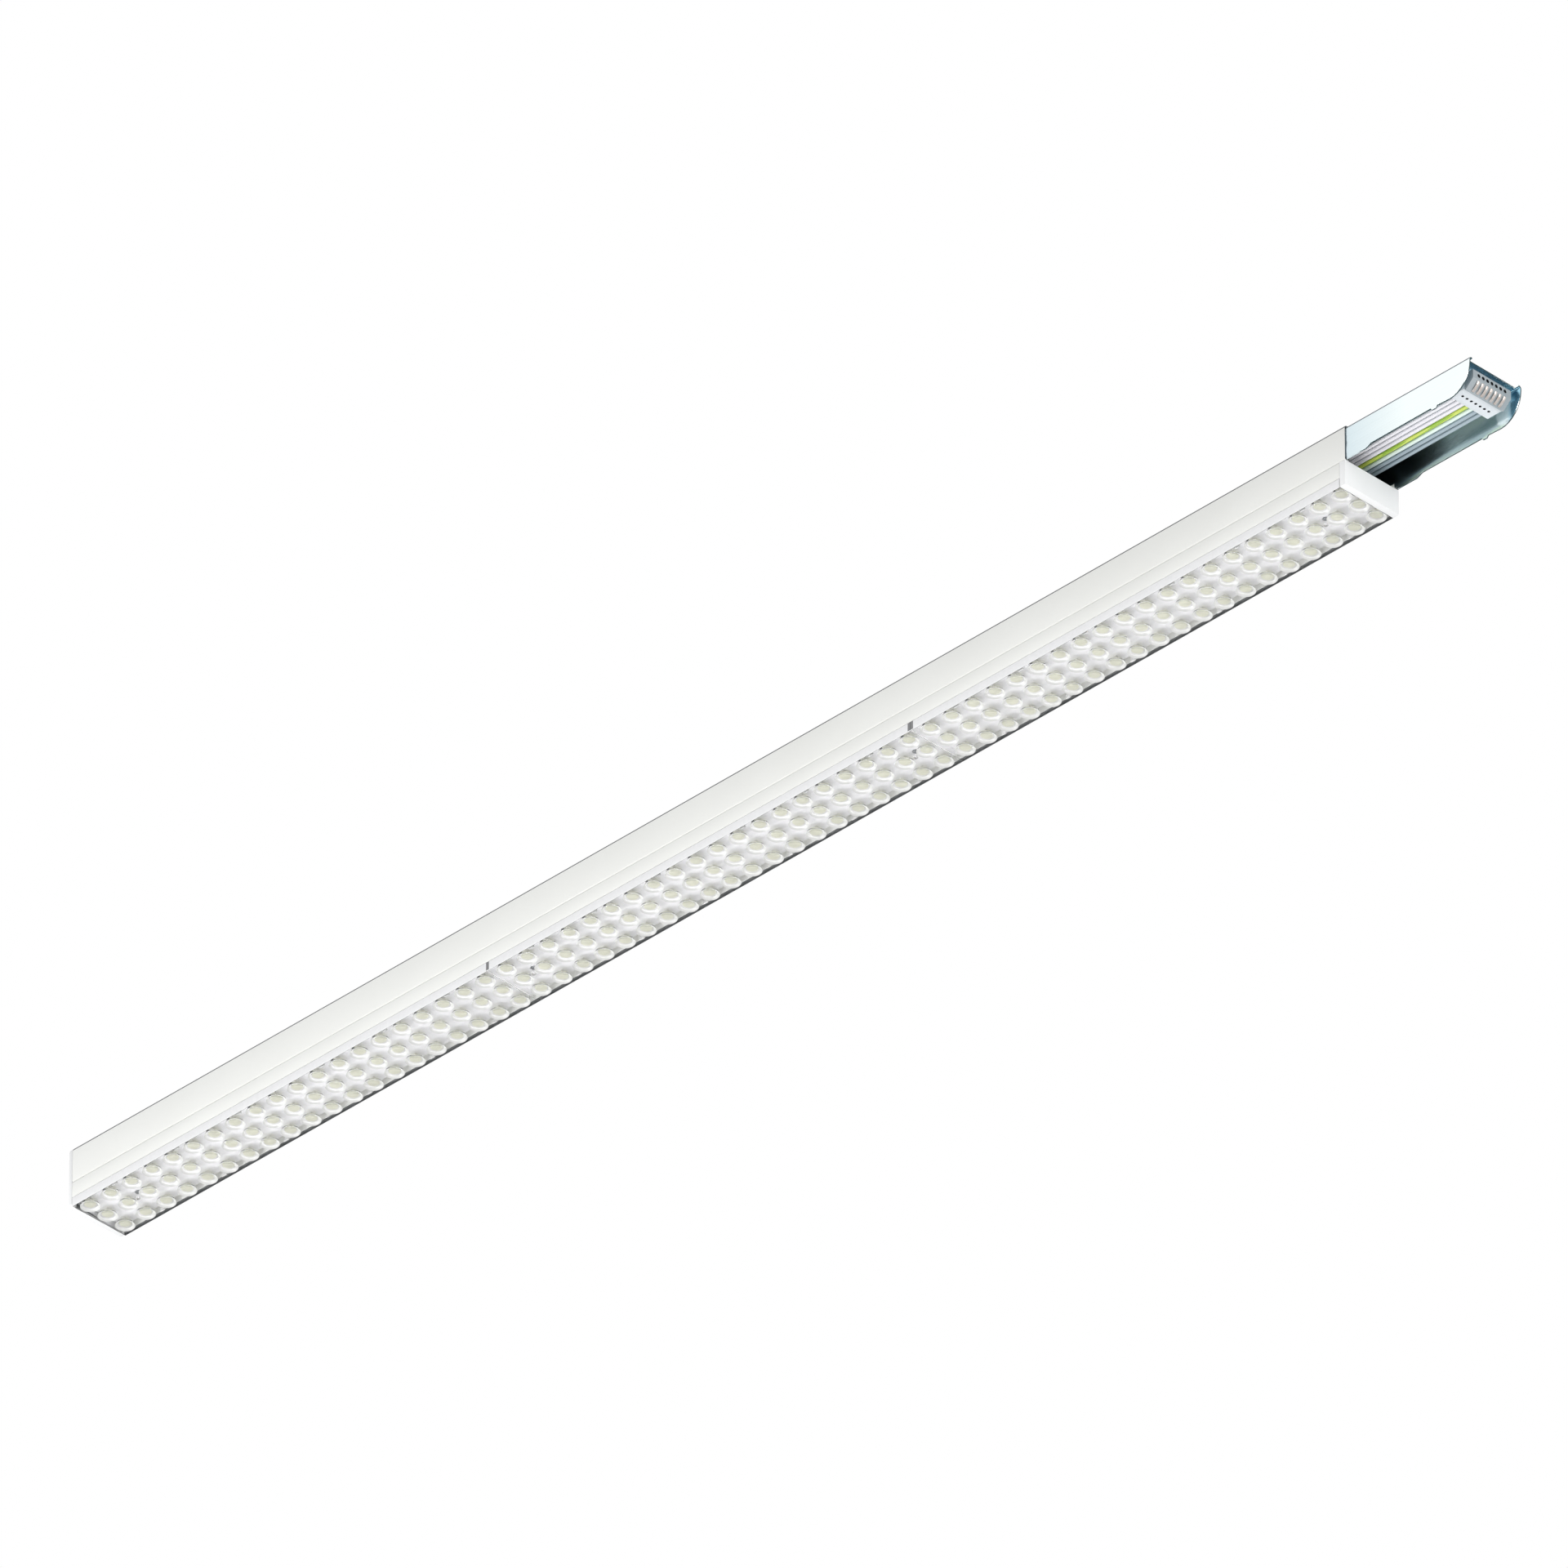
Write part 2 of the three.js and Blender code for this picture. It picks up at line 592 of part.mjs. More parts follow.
function boardConnector() {
  const [left, right] = BOARD_CONNECTOR_X;
  const body = block([left, right], [-6.5, 6.5], [TRAY_BOTTOM, -45.5]);
  const entries = OUTPUT_Y.map((y) => barX(3.2, right - 5, right + 1, y, ENTRY_LEVEL));
  return build([body], entries);
}

place(traySide, "board_link_1", boardLink(-PLATE_JOINT), whitePlastic);
place(traySide, "board_link_2", boardLink(PLATE_JOINT), whitePlastic);
place(traySide, "board_connector", boardConnector(), whitePlastic);

// ---------------------------------------------------------------- driver

const SHELL = { left: DRIVER.left + 36, right: DRIVER.right - 36, sheet: 0.8 };
const BASE_TOP = FLOOR_TOP + 1;
const CIRCUIT_LEVEL = BASE_TOP + 3.4;
const TERMINAL_TOP = -43;

function driverBase() {
  const ys = [-DRIVER.half, DRIVER.half];
  const plate = block([DRIVER.left, DRIVER.right], ys, [FLOOR_TOP, BASE_TOP]);
  const posts = [SHELL.left + 14, SHELL.right - 14].flatMap((x) =>
    [-10, 10].map((y) => barZ(3, BASE_TOP - 0.5, CIRCUIT_LEVEL - GAP, x, y, 10)),
  );
  const holes = DRIVER_SCREWS.map((x) => barZ(FIXING_HOLE, FLOOR_TOP - 1, BASE_TOP + 1, x, 0));
  return build([plate, ...posts], holes);
}

function driverCover() {
  const low = BASE_TOP + GAP;
  const outer = block([SHELL.left, SHELL.right], [-DRIVER.half, DRIVER.half], [low, DRIVER.top]);
  const t = SHELL.sheet;
  const inner = block(
    [SHELL.left + t, SHELL.right - t],
    [t - DRIVER.half, DRIVER.half - t],
    [low - 1, DRIVER.top - t],
  );
  return build([outer], [inner]);
}

/** The driver's circuit board with its transformer, choke, coolers and capacitors. */
function driverCircuit() {
  const top = CIRCUIT_LEVEL + 1.6;
  const sunk = top - 0.4;
  const board = block([SHELL.left + 6, SHELL.right - 6], [-12.5, 12.5], [CIRCUIT_LEVEL, top]);
  const blocks = [
    block([-30, 4], [-11, 11], [sunk, top + 12]),
    block([-110, -88], [-9, 9], [sunk, top + 10]),
    block([60, 84], [-10, 8], [sunk, top + 11]),
    block([24, 27], [-11, 11], [sunk, top + 11]),
  ];
  const cans = [-140, -64, 104].map((x) => barZ(12, sunk, top + 12, x, 0, 12));
  return build([board, ...blocks, ...cans]);
}

function terminal(left, right, wires, face) {
  const body = block([left, right], [-11, 11], [BASE_TOP + GAP, TERMINAL_TOP]);
  const mouth = face > 0 ? [right - 6, right + 1] : [left - 1, left + 6];
  return build([body], wires.map((y) => barX(3.4, ...mouth, y, ENTRY_LEVEL)));
}

function driverScrew(x) {
  const head = barZ(7, BASE_TOP + GAP, BASE_TOP + GAP + 1.8, x, 0);
  const shank = barZ(3, TRAY_BOTTOM + 0.4, BASE_TOP + 1, x, 0, 12);
  const drive = block([x - 2.4, x + 2.4], [-0.5, 0.5], [BASE_TOP + GAP + 1, BASE_TOP + GAP + 3]);
  return build([head, shank], [drive]);
}

const INPUT_FACE = SHELL.right + 20;
const OUTPUT_FACE = SHELL.left - 20;

place(traySide, "driver_base", driverBase(), driverShell);
place(traySide, "driver_cover", driverCover(), driverShell);
place(traySide, "driver_circuit", driverCircuit(), circuitGreen);
place(
  traySide,
  "driver_input_terminal",
  terminal(SHELL.right + 1, INPUT_FACE, SUPPLY_Y, 1),
  whitePlastic,
);
place(
  traySide,
  "driver_output_terminal",
  terminal(OUTPUT_FACE, SHELL.left - 1, OUTPUT_Y, -1),
  whitePlastic,
);
DRIVER_SCREWS.forEach((x, i) =>
  place(traySide, `driver_screw_${i + 1}`, driverScrew(x), screwSteel),
);

// ---------------------------------------------------------------- plug, phase selector and leads

const PLUG = { left: 305, right: 347, half: 22, top: SOCKET.under - GAP };
const SLIDER = { neck: 5, foot: 9, width: 4.6, shoulder: PLUG.top - 2.6, bottom: PLUG.top - 6 };
const LEAD_LEVEL = -46; // at the plug

function plugBody() {
  const body = block([PLUG.left, PLUG.right], [-PLUG.half, PLUG.half], [FLOOR_TOP, PLUG.top]);
  const pins = FIXED_POLES.map((i) =>
    barZ(PIN_DIAMETER, PLUG.top - 1, PIN_TOP, PIN_X, POLE_Y[i], 10),
  );
  const reach = [POLE_Y[0] - SLIDER.width / 2 - GAP, POLE_Y[2] + SLIDER.width / 2 + GAP];
  const [neck, foot] = [SLIDER.neck / 2 + GAP, SLIDER.foot / 2 + GAP];
  const cuts = [
    block([PIN_X - neck, PIN_X + neck], reach, [SLIDER.shoulder - 0.2, PLUG.top + 1]),
    block([PIN_X - foot, PIN_X + foot], reach, [SLIDER.bottom - GAP, SLIDER.shoulder + GAP]),
    ...SUPPLY_Y.map((y) => barX(3.4, PLUG.left - 1, PLUG.left + 6, y, LEAD_LEVEL)),
  ];
  const shell = cuts.reduce((rest, cut) => rest.subtract(solid(cut)), solid(body));
  return geometryOf(pins.reduce((sum, pin) => sum.add(solid(pin)), shell));
}

/** The sliding carrier of the live pin, at rest on the first line. */
function phaseSelector() {
  const y = POLE_Y[0];
  const ys = [y - SLIDER.width / 2, y + SLIDER.width / 2];
  const across = (length) => [PIN_X - length / 2, PIN_X + length / 2];
  const foot = block(across(SLIDER.foot), ys, [SLIDER.bottom, SLIDER.shoulder]);
  const neck = block(across(SLIDER.neck), ys, [SLIDER.shoulder - 0.5, PLUG.top]);
  return build([foot, neck, barZ(PIN_DIAMETER, PLUG.top - 1, PIN_TOP, PIN_X, y, 10)]);
}

function supplyLead(y) {
  const points = [
    [PLUG.left + 5, y, LEAD_LEVEL],
    [PLUG.left - 14, y, LEAD_LEVEL],
    [270, 1.1 * y, LEAD_LEVEL - 1.4],
    [225, 1.15 * y, LEAD_LEVEL - 2.6],
    [INPUT_FACE + 14, y, ENTRY_LEVEL],
    [INPUT_FACE - 5, y, ENTRY_LEVEL],
  ];
  return leadAlong(points, 2.7, 8, 24);
}

function outputLead(y) {
  const points = [
    [OUTPUT_FACE + 5, y, ENTRY_LEVEL],
    [OUTPUT_FACE - 6, y, ENTRY_LEVEL],
    [BOARD_CONNECTOR_X[1] + 4, y, ENTRY_LEVEL],
    [BOARD_CONNECTOR_X[1] - 4, y, ENTRY_LEVEL],
  ];
  return leadAlong(points, 2.2, 8, 6);
}

place(traySide, "plug_body", plugBody(), whitePlastic);
place(traySide, "phase_selector", phaseSelector(), greyPlastic);
["live", "earth", "neutral"].forEach((name, i) => {
  const colour = [0x2b2f33, 0xa8c02e, 0x4f7fb5][i];
  place(traySide, `lead_${name}`, supplyLead(SUPPLY_Y[i]), finish(colour, 0.45));
});
["minus", "plus"].forEach((name, i) => {
  const colour = [0x202226, 0xb33a32][i];
  place(traySide, `output_lead_${name}`, outputLead(OUTPUT_Y[i]), finish(colour, 0.45));
});

export default unit;
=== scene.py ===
import json
import math

import bmesh
import bpy
from mathutils import Matrix, Vector


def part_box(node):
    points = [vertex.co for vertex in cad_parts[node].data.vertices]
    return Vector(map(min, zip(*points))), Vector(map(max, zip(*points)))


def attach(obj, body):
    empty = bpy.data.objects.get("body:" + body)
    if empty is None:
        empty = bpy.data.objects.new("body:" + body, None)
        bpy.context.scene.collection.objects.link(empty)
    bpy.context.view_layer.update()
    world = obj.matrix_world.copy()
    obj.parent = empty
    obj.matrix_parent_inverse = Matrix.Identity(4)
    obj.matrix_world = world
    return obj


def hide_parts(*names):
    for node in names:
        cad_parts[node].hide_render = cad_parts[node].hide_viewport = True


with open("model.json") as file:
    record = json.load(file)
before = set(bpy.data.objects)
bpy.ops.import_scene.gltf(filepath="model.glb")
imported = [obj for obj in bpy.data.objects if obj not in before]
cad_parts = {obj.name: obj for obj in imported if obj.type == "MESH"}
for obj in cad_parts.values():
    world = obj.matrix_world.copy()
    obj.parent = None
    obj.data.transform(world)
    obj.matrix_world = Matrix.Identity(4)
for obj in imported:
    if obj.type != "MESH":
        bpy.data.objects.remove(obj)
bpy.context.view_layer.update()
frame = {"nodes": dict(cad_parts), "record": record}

# A trunking light-line unit that hangs from a ceiling and shines down. Shapes are made in millimetres
# and turned into metres when a piece is finished. The origin is the middle of the trunking's top face,
# +X points along the unit to its coupling sleeve and +Z up.

MM = 0.001
SAME_PLACE = 1e-6
BODY_OF = {node: body for body, nodes in frame["record"]["behaviour"]["bodies"].items() for node in nodes}
SLOT_OF = {part["node"]: part["material_slot"] for part in frame["record"]["subparts"]}


def span(node):
    """The lowest and highest corner of a CAD node, in millimetres."""
    low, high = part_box(node)
    return low / MM, high / MM


# ---------------------------------------------------------------- materials


def choose(tree, share, first, second):
    """The first shader where the share is 0 and the second where it is 1."""
    mix = tree.nodes.new("ShaderNodeMixShader")
    for value, socket in zip((share, first, second), mix.inputs):
        tree.links.new(value, socket)
    return mix.outputs[0]


class Finish:
    """A material around one Principled shader, with short ways to add nodes to it."""

    def __init__(self, name, colour, roughness, metallic=0.0):
        self.material = bpy.data.materials.new(name)
        self.material.use_nodes = True
        self.tree = self.material.node_tree
        self.shader = self.tree.nodes["Principled BSDF"]
        self.shader.inputs["Base Color"].default_value = (*colour, 1)
        self.shader.inputs["Roughness"].default_value = roughness
        self.shader.inputs["Metallic"].default_value = metallic
        self.place = self.add("TexCoord").outputs["Object"]
        self.normal = None

    def add(self, kind, **values):
        """A new shader node with its sockets and settings given by name."""
        node = self.tree.nodes.new("ShaderNode" + kind)
        for name, value in values.items():
            if name in node.inputs:
                self.put(value, node.inputs[name])
            else:
                setattr(node, name, value)
        return node

    def put(self, value, socket):
        """Links a socket to another one, or sets its own value."""
        if isinstance(value, bpy.types.NodeSocket):
            self.tree.links.new(value, socket)
        elif socket.type == "RGBA":
            socket.default_value = (*value, 1)
        else:
            socket.default_value = value

    def set(self, name, value):
        self.put(value, self.shader.inputs[name])

    def stretched(self, factors):
        """The piece's own coordinates with each axis multiplied."""
        mapping = self.add("Mapping", Scale=factors)
        self.tree.links.new(self.place, mapping.inputs["Vector"])
        return mapping.outputs["Vector"]

    def noise(self, scale, detail=3.0, roughness=0.5, place=None):
        values = {"Scale": scale, "Detail": detail, "Roughness": roughness, "Vector": place or self.place}
        return self.add("TexNoise", **values).outputs["Fac"]

    def remap(self, value, low, high, start=0.3, end=0.7):
        """A value spread over a new range, held inside it."""
        node = self.add("MapRange", clamp=True)
        for name, amount in zip(("Value", "From Min", "From Max", "To Min", "To Max"),
                                (value, start, end, low, high)):
            self.put(amount, node.inputs[name])
        return node.outputs["Result"]

    def blend(self, share, first, second, mode="MIX"):
        """Two colours mixed by a share from 0 to 1."""
        node = self.add("Mix", data_type="RGBA", blend_type=mode)
        colours = [s for s in node.inputs if s.type == "RGBA"]
        self.put(share, node.inputs["Factor"])
        self.put(first, colours[0])
        self.put(second, colours[1])
        return next(s for s in node.outputs if s.type == "RGBA")

    def bump(self, height, strength, distance_mm):
        """Adds one more layer of fine relief."""
        node = self.add("Bump", Strength=strength, Distance=distance_mm * MM, Height=height)
        if self.normal:
            self.tree.links.new(self.normal, node.inputs["Normal"])
        self.normal = node.outputs["Normal"]
        self.put(self.normal, self.shader.inputs["Normal"])

    def mottled(self, first, second, scale, detail=3.0, place=None):
        """A base colour that wanders between two close tones."""
        share = self.remap(self.noise(scale, detail, place=place), 0.0, 1.0)
        self.set("Base Color", self.blend(share, first, second))

    def worn_gloss(self, low, high, scale):
        """A roughness that wanders between two values."""
        self.set("Roughness", self.remap(self.noise(scale, 4.0), low, high))

    def switch(self, share, other):
        """Shows another shader instead of the main one where the share is 1."""
        shader = choose(self.tree, share, self.shader.outputs[0], other)
        self.tree.links.new(shader, self.tree.nodes["Material Output"].inputs["Surface"])


def powder_coat():
    """Satin white powder coat: fine orange peel and a barely uneven tone."""
    finish = Finish("powder_coat_white", (0.86, 0.86, 0.83), 0.38)
    finish.mottled((0.85, 0.852, 0.825), (0.875, 0.877, 0.85), 14.0)
    finish.worn_gloss(0.33, 0.45, 60.0)
    finish.bump(finish.noise(900.0, 2.0), 0.12, 0.05)
    finish.bump(finish.noise(260.0, 1.0), 0.10, 0.08)
    finish.set("Specular IOR Level", 0.4)
    finish.set("Coat Weight", 0.25)
    finish.set("Coat Roughness", 0.2)
    return finish.material


def moulded_plastic(name, light, dark, roughness=0.42):
    """Injection-moulded plastic with a spark-eroded grain and an uneven gloss."""
    finish = Finish(name, light, roughness)
    finish.mottled(light, dark, 25.0)
    finish.worn_gloss(roughness - 0.05, roughness + 0.08, 120.0)
    finish.bump(finish.noise(2400.0, 2.0), 0.15, 0.03)
    return finish.material


def zinc_plate(name, shade_by_trunking, pale, tip):
    """Zinc-plated strip steel with faint rolling lines. Its tone changes from the trunking to the tip:
    painted shade by the trunking and painted reflection at the tip.
    """
    body_start, body_end = 0.845, 0.92
    tip_start, tip_end = 0.984, 0.991
    finish = Finish(name, pale, 0.22, 1.0)
    lines = finish.stretched((4.0, 1400.0, 1400.0))
    along = finish.add("SeparateXYZ", Vector=finish.place).outputs["X"]
    # Painted shade and reflection: the colour changes along X from the trunking to the tip.
    body = finish.blend(finish.remap(along, 0.0, 1.0, body_start, body_end), shade_by_trunking, pale)
    tone = finish.blend(finish.remap(along, 0.0, 1.0, tip_start, tip_end), body, tip)
    share = finish.remap(finish.noise(1.0, 3.0, place=lines), 0.0, 1.0)
    finish.set("Base Color", finish.blend(share, tone, (1.05, 1.05, 1.05), "MULTIPLY"))
    clouds = finish.noise(18.0, 3.0)
    finish.set("Roughness", finish.remap(clouds, 0.20, 0.27))
    finish.bump(finish.noise(1.0, 2.0, place=lines), 0.05, 0.02)
    return finish.material


def plain_steel(name, light, dark, roughness):
    """Turned or rolled steel with fine tool marks."""
    finish = Finish(name, light, roughness, 1.0)
    finish.mottled(light, dark, 350.0)
    finish.worn_gloss(roughness - 0.06, roughness + 0.12, 500.0)
    finish.bump(finish.noise(1.0, 2.0, place=finish.stretched((300.0, 2500.0, 2500.0))), 0.12, 0.03)
    return finish.material


def contact_metal():
    """Tinned copper alloy, warmer where the tin is thin."""
    finish = Finish("contact_metal", (0.90, 0.82, 0.79), 0.42, 0.55)
    finish.mottled((0.92, 0.86, 0.84), (0.80, 0.66, 0.58), 420.0)
    finish.worn_gloss(0.36, 0.52, 900.0)
    return finish.material


def clear_acrylic():
    """Clear acrylic of the lens plates, open to lamps so that the boards above it stay lit."""
    finish = Finish("clear_acrylic", (0.985, 0.985, 0.99), 0.03)
    finish.set("Transmission Weight", 1.0)
    finish.set("IOR", 1.49)
    finish.bump(finish.noise(160.0, 2.0), 0.05, 0.05)
    open_to_lamps = finish.add("BsdfTransparent", Color=(0.985, 0.985, 0.985))
    finish.switch(finish.add("LightPath").outputs["Is Shadow Ray"], open_to_lamps.outputs[0])
    return finish.material


def solder_resist(name, ground, track, pitch):
    """Solder resist over copper tracks, which show as slightly raised paler bands."""
    finish = Finish(name, ground, 0.35)
    scale = 1.0 / (pitch * MM * 6.2832)
    wave = finish.add("TexWave", wave_type="BANDS", bands_direction="Y", Scale=scale)
    finish.put(4.0, wave.inputs["Distortion"])
    finish.put(0.35, wave.inputs["Detail Scale"])
    finish.tree.links.new(finish.stretched((0.15, 1.0, 1.0)), wave.inputs["Vector"])
    band = finish.remap(wave.outputs["Fac"], 0.0, 1.0, 0.62, 0.70)
    finish.set("Base Color", finish.blend(band, ground, track))
    finish.bump(band, 0.3, 0.03)
    finish.bump(finish.noise(1500.0, 2.0), 0.08, 0.02)
    return finish.material


def lens_surface(name, tint, clarity, roughness):
    """A finely stippled face of a lens, part clear and part milky."""
    finish = Finish(name, tint, roughness)
    finish.set("Transmission Weight", clarity)
    finish.set("IOR", 1.49)
    finish.mottled(tint, [0.97 * c for c in tint], 500.0)
    finish.bump(finish.noise(1800.0, 2.0), 0.20, 0.04)
    return finish.material


def frosted_rim_with_inner_shade():
    """The lens plates' frosted rim, whitish from outside. Where it is seen through a plate it shows a dark
    painted shade.
    """
    finish = Finish("frosted_rim_with_inner_shade", (0.81, 0.81, 0.82), 0.35)
    finish.mottled((0.82, 0.82, 0.83), (0.78, 0.78, 0.79), 300.0)
    finish.bump(finish.noise(1500.0, 2.0), 0.15, 0.04)
    # Painted shade: the back of the rim's faces is a dark diffuse shader.
    inside = finish.add("BsdfDiffuse", Color=(0.22, 0.22, 0.225))
    finish.switch(finish.add("NewGeometry").outputs["Backfacing"], inside.outputs[0])
    return finish.material


def painted_shade_grey():
    """Dark grey painted shade, used on the trunking's tight top bends and on the inner faces of the tray's
    lower lips.
    """
    finish = Finish("grey_painted_shade", (0.13, 0.13, 0.135), 0.5)
    finish.mottled((0.12, 0.12, 0.125), (0.15, 0.15, 0.155), 40.0)
    finish.bump(finish.noise(1200.0, 2.0), 0.10, 0.03)
    return finish.material


def phosphor():
    """The yellow silicone over an LED chip, unlit."""
    finish = Finish("led_phosphor", (0.88, 0.82, 0.36), 0.35)
    finish.mottled((0.90, 0.85, 0.42), (0.84, 0.76, 0.28), 900.0)
    finish.set("Subsurface Weight", 0.25)
    finish.set("Subsurface Radius", (0.001, 0.0008, 0.0003))
    return finish.material


def insulation(name, colour, shade):
    """Extruded PVC with faint lines along the wire."""
    finish = Finish(name, colour, 0.36)
    lines = finish.stretched((8.0, 1500.0, 1500.0))
    finish.mottled(colour, shade, 1.0, 2.0, lines)
    finish.bump(finish.noise(1.0, 2.0, place=lines), 0.10, 0.03)
    finish.bump(finish.noise(90.0, 1.0), 0.15, 0.1)
    return finish.material


def earth_insulation():
    """Green PVC with two yellow stripes along the wire."""
    finish = Finish("insulation_earth", (0.46, 0.62, 0.10), 0.36)
    wave = finish.add("TexWave", wave_type="BANDS", bands_direction="DIAGONAL", Scale=26.0)
    finish.tree.links.new(finish.stretched((0.4, 9.0, 9.0)), wave.inputs["Vector"])
    share = finish.remap(wave.outputs["Fac"], 0.0, 1.0, 0.45, 0.55)
    finish.set("Base Color", finish.blend(share, (0.34, 0.56, 0.06), (0.62, 0.74, 0.14)))
    finish.bump(finish.noise(90.0, 1.0), 0.15, 0.1)
    return finish.material


MATERIALS = {
    "white_paint": powder_coat(),
    "white_plastic": moulded_plastic("moulded_white", (0.87, 0.875, 0.88), (0.84, 0.845, 0.85)),
    # The sleeve's zinc, with painted shade by the trunking.
    "zinc_steel": zinc_plate("zinc_plate", (0.62, 0.70, 0.73), (0.83, 0.87, 0.86), (0.84, 0.88, 0.87)),
    "grey_plastic": moulded_plastic("moulded_grey", (0.40, 0.44, 0.465), (0.34, 0.385, 0.41), 0.32),
    "contact_copper": contact_metal(),
    "screw_steel": plain_steel("screw_steel", (0.50, 0.51, 0.53), (0.38, 0.39, 0.42), 0.34),
    "spring_steel": plain_steel("spring_steel", (0.66, 0.68, 0.70), (0.55, 0.57, 0.60), 0.28),
    "wire_grey": insulation("insulation_grey", (0.88, 0.87, 0.91), (0.80, 0.79, 0.84)),
    "wire_green_yellow": earth_insulation(),
    "wire_pale_blue": insulation("insulation_pale", (0.80, 0.92, 0.88), (0.72, 0.86, 0.82)),
    "wire_blue": insulation("insulation_blue", (0.06, 0.16, 0.42), (0.05, 0.13, 0.34)),
    "wire_slate": insulation("insulation_slate", (0.40, 0.49, 0.54), (0.33, 0.41, 0.47)),
    "wire_black": insulation("insulation_black", (0.02, 0.022, 0.025), (0.03, 0.032, 0.036)),
    "wire_red": insulation("insulation_red", (0.42, 0.03, 0.02), (0.34, 0.02, 0.02)),
    "board_white": solder_resist("solder_resist_white", (0.91, 0.905, 0.925), (0.94, 0.935, 0.95), 3.2),
    "clear_plastic": clear_acrylic(),
    "driver_shell": moulded_plastic("driver_shell_white", (0.80, 0.81, 0.82), (0.76, 0.77, 0.78), 0.36),
    "circuit_green": solder_resist("solder_resist_green", (0.02, 0.14, 0.05), (0.05, 0.24, 0.10), 1.6),
}
LENS_RING = lens_surface("lens_ring", (0.97, 0.97, 0.96), 0.35, 0.25)
LENS_CORE = lens_surface("lens_core", (0.98, 0.98, 0.97), 0.85, 0.12)
# Painted glow: a yellow tint on the top of each lens bulb that stands in for the LED seen through it.
LENS_PAINTED_GLOW = lens_surface("lens_glow_painted", (0.93, 0.935, 0.72), 0.35, 0.3)
# Painted shade in dark grey, for the trunking's top bends and the tray's inner lip faces.
BEND_AND_LIP_SHADE = painted_shade_grey()
# Painted reflection and shade for the sleeve's inside: dark by the trunking, pale teal along it and dark
# blue at the tip.
INSIDE_REFLECTION_AND_SHADE = zinc_plate("zinc_inside_painted_reflection_and_shade", (0.30, 0.37, 0.39), (0.88, 0.98, 0.98), (0.34, 0.60, 0.74))
PACKAGE_WHITE = moulded_plastic("led_package_white", (0.84, 0.84, 0.82), (0.80, 0.80, 0.78), 0.3)
PHOSPHOR = phosphor()
# Painted shade: near-black plastic for the insides of holes and sockets.
HOLE_SHADE = moulded_plastic("painted_hole_shade", (0.03, 0.035, 0.04), (0.02, 0.024, 0.028), 0.5)
PART_BLACK = moulded_plastic("component_black", (0.03, 0.03, 0.032), (0.045, 0.045, 0.05), 0.3)
TAPE_YELLOW = moulded_plastic("transformer_tape", (0.72, 0.52, 0.08), (0.62, 0.44, 0.06), 0.3)
CONNECTOR_WHITE = moulded_plastic("connector_white", (0.76, 0.80, 0.83), (0.71, 0.75, 0.79), 0.36)
# Dark steel: bare steel on the trunking's cut end, which also stands in for the shade at the joint, and
# painted shade on the sleeve's top bends.
CUT_EDGE_AND_SHADE = plain_steel("cut_steel_and_painted_shade", (0.20, 0.21, 0.23), (0.13, 0.14, 0.16), 0.45)
# Frosted rim, with painted shade on its inner side.
FROSTED_RIM_AND_SHADE = frosted_rim_with_inner_shade()
SHADED_WALL = moulded_plastic("shaded_wall", (0.20, 0.20, 0.205), (0.16, 0.16, 0.165), 0.4)


# ---------------------------------------------------------------- shapes


class Form:
    """Points and faces of one piece in millimetres, with a material number for each face."""

    def __init__(self):
        self.points = []
        self.faces = []
        self.finish = []

    def add(self, points, faces, finish=0):
        start = len(self.points)
        self.points += [tuple(point) for point in points]
        self.faces += [[start + i for i in face] for face in faces]
        self.finish += [finish] * len(faces)
        return self

    def stamp(self, other, moves):
        """Copies of another form, each moved by one offset."""
        for dx, dy, dz in moves:
            start = len(self.points)
            self.points += [(x + dx, y + dy, z + dz) for x, y, z in other.points]
            self.faces += [[start + i for i in face] for face in other.faces]
            self.finish += other.finish
        return self

    def take(self, bm, finish=0):
        """Adds all of a bmesh and frees it."""
        bm.verts.index_update()
        points = [tuple(v.co) for v in bm.verts]
        faces = [[v.index for v in face.verts] for face in bm.faces]
        bm.free()
        return self.add(points, faces, finish)

    def block(self, xs, ys, zs, soft, finish=0):
        """A box between two corners with soft edges."""
        bm = bmesh.new()
        size = Vector((xs[1] - xs[0], ys[1] - ys[0], zs[1] - zs[0]))
        centre = Vector((sum(xs) / 2, sum(ys) / 2, sum(zs) / 2))
        bmesh.ops.create_cube(bm, size=1, matrix=Matrix.Translation(centre) @ Matrix.Diagonal((*size, 1)))
        bmesh.ops.bevel(bm, geom=bm.edges[:], offset=soft, segments=2, profile=0.5,
                        affect="EDGES", clamp_overlap=True)
        return self.take(bm, finish)

    def turned(self, profile, centre, axis="Z", steps=32, finish=0):
        """A profile of radius and height turned about Z or X. It starts and ends on the axis."""
        rings = []
        points = []
        for radius, height in profile:
            if radius == 0:
                rings.append([len(points)])
                points.append((0, 0, height))
                continue
            rings.append(list(range(len(points), len(points) + steps)))
            for k in range(steps):
                angle = 2 * math.pi * k / steps
                points.append((radius * math.cos(angle), radius * math.sin(angle), height))
        faces = []
        for low, high in zip(rings, rings[1:]):
            for k in range(steps):
                nxt = (k + 1) % steps
                if len(low) == 1:
                    faces.append([low[0], high[nxt], high[k]])
                elif len(high) == 1:
                    faces.append([low[k], low[nxt], high[0]])
                else:
                    faces.append([low[k], low[nxt], high[nxt], high[k]])
        turned = points if axis == "Z" else [(z, x, y) for x, y, z in points]
        moved = [Vector(point) + Vector(centre) for point in turned]
        return self.add(moved, faces, finish)


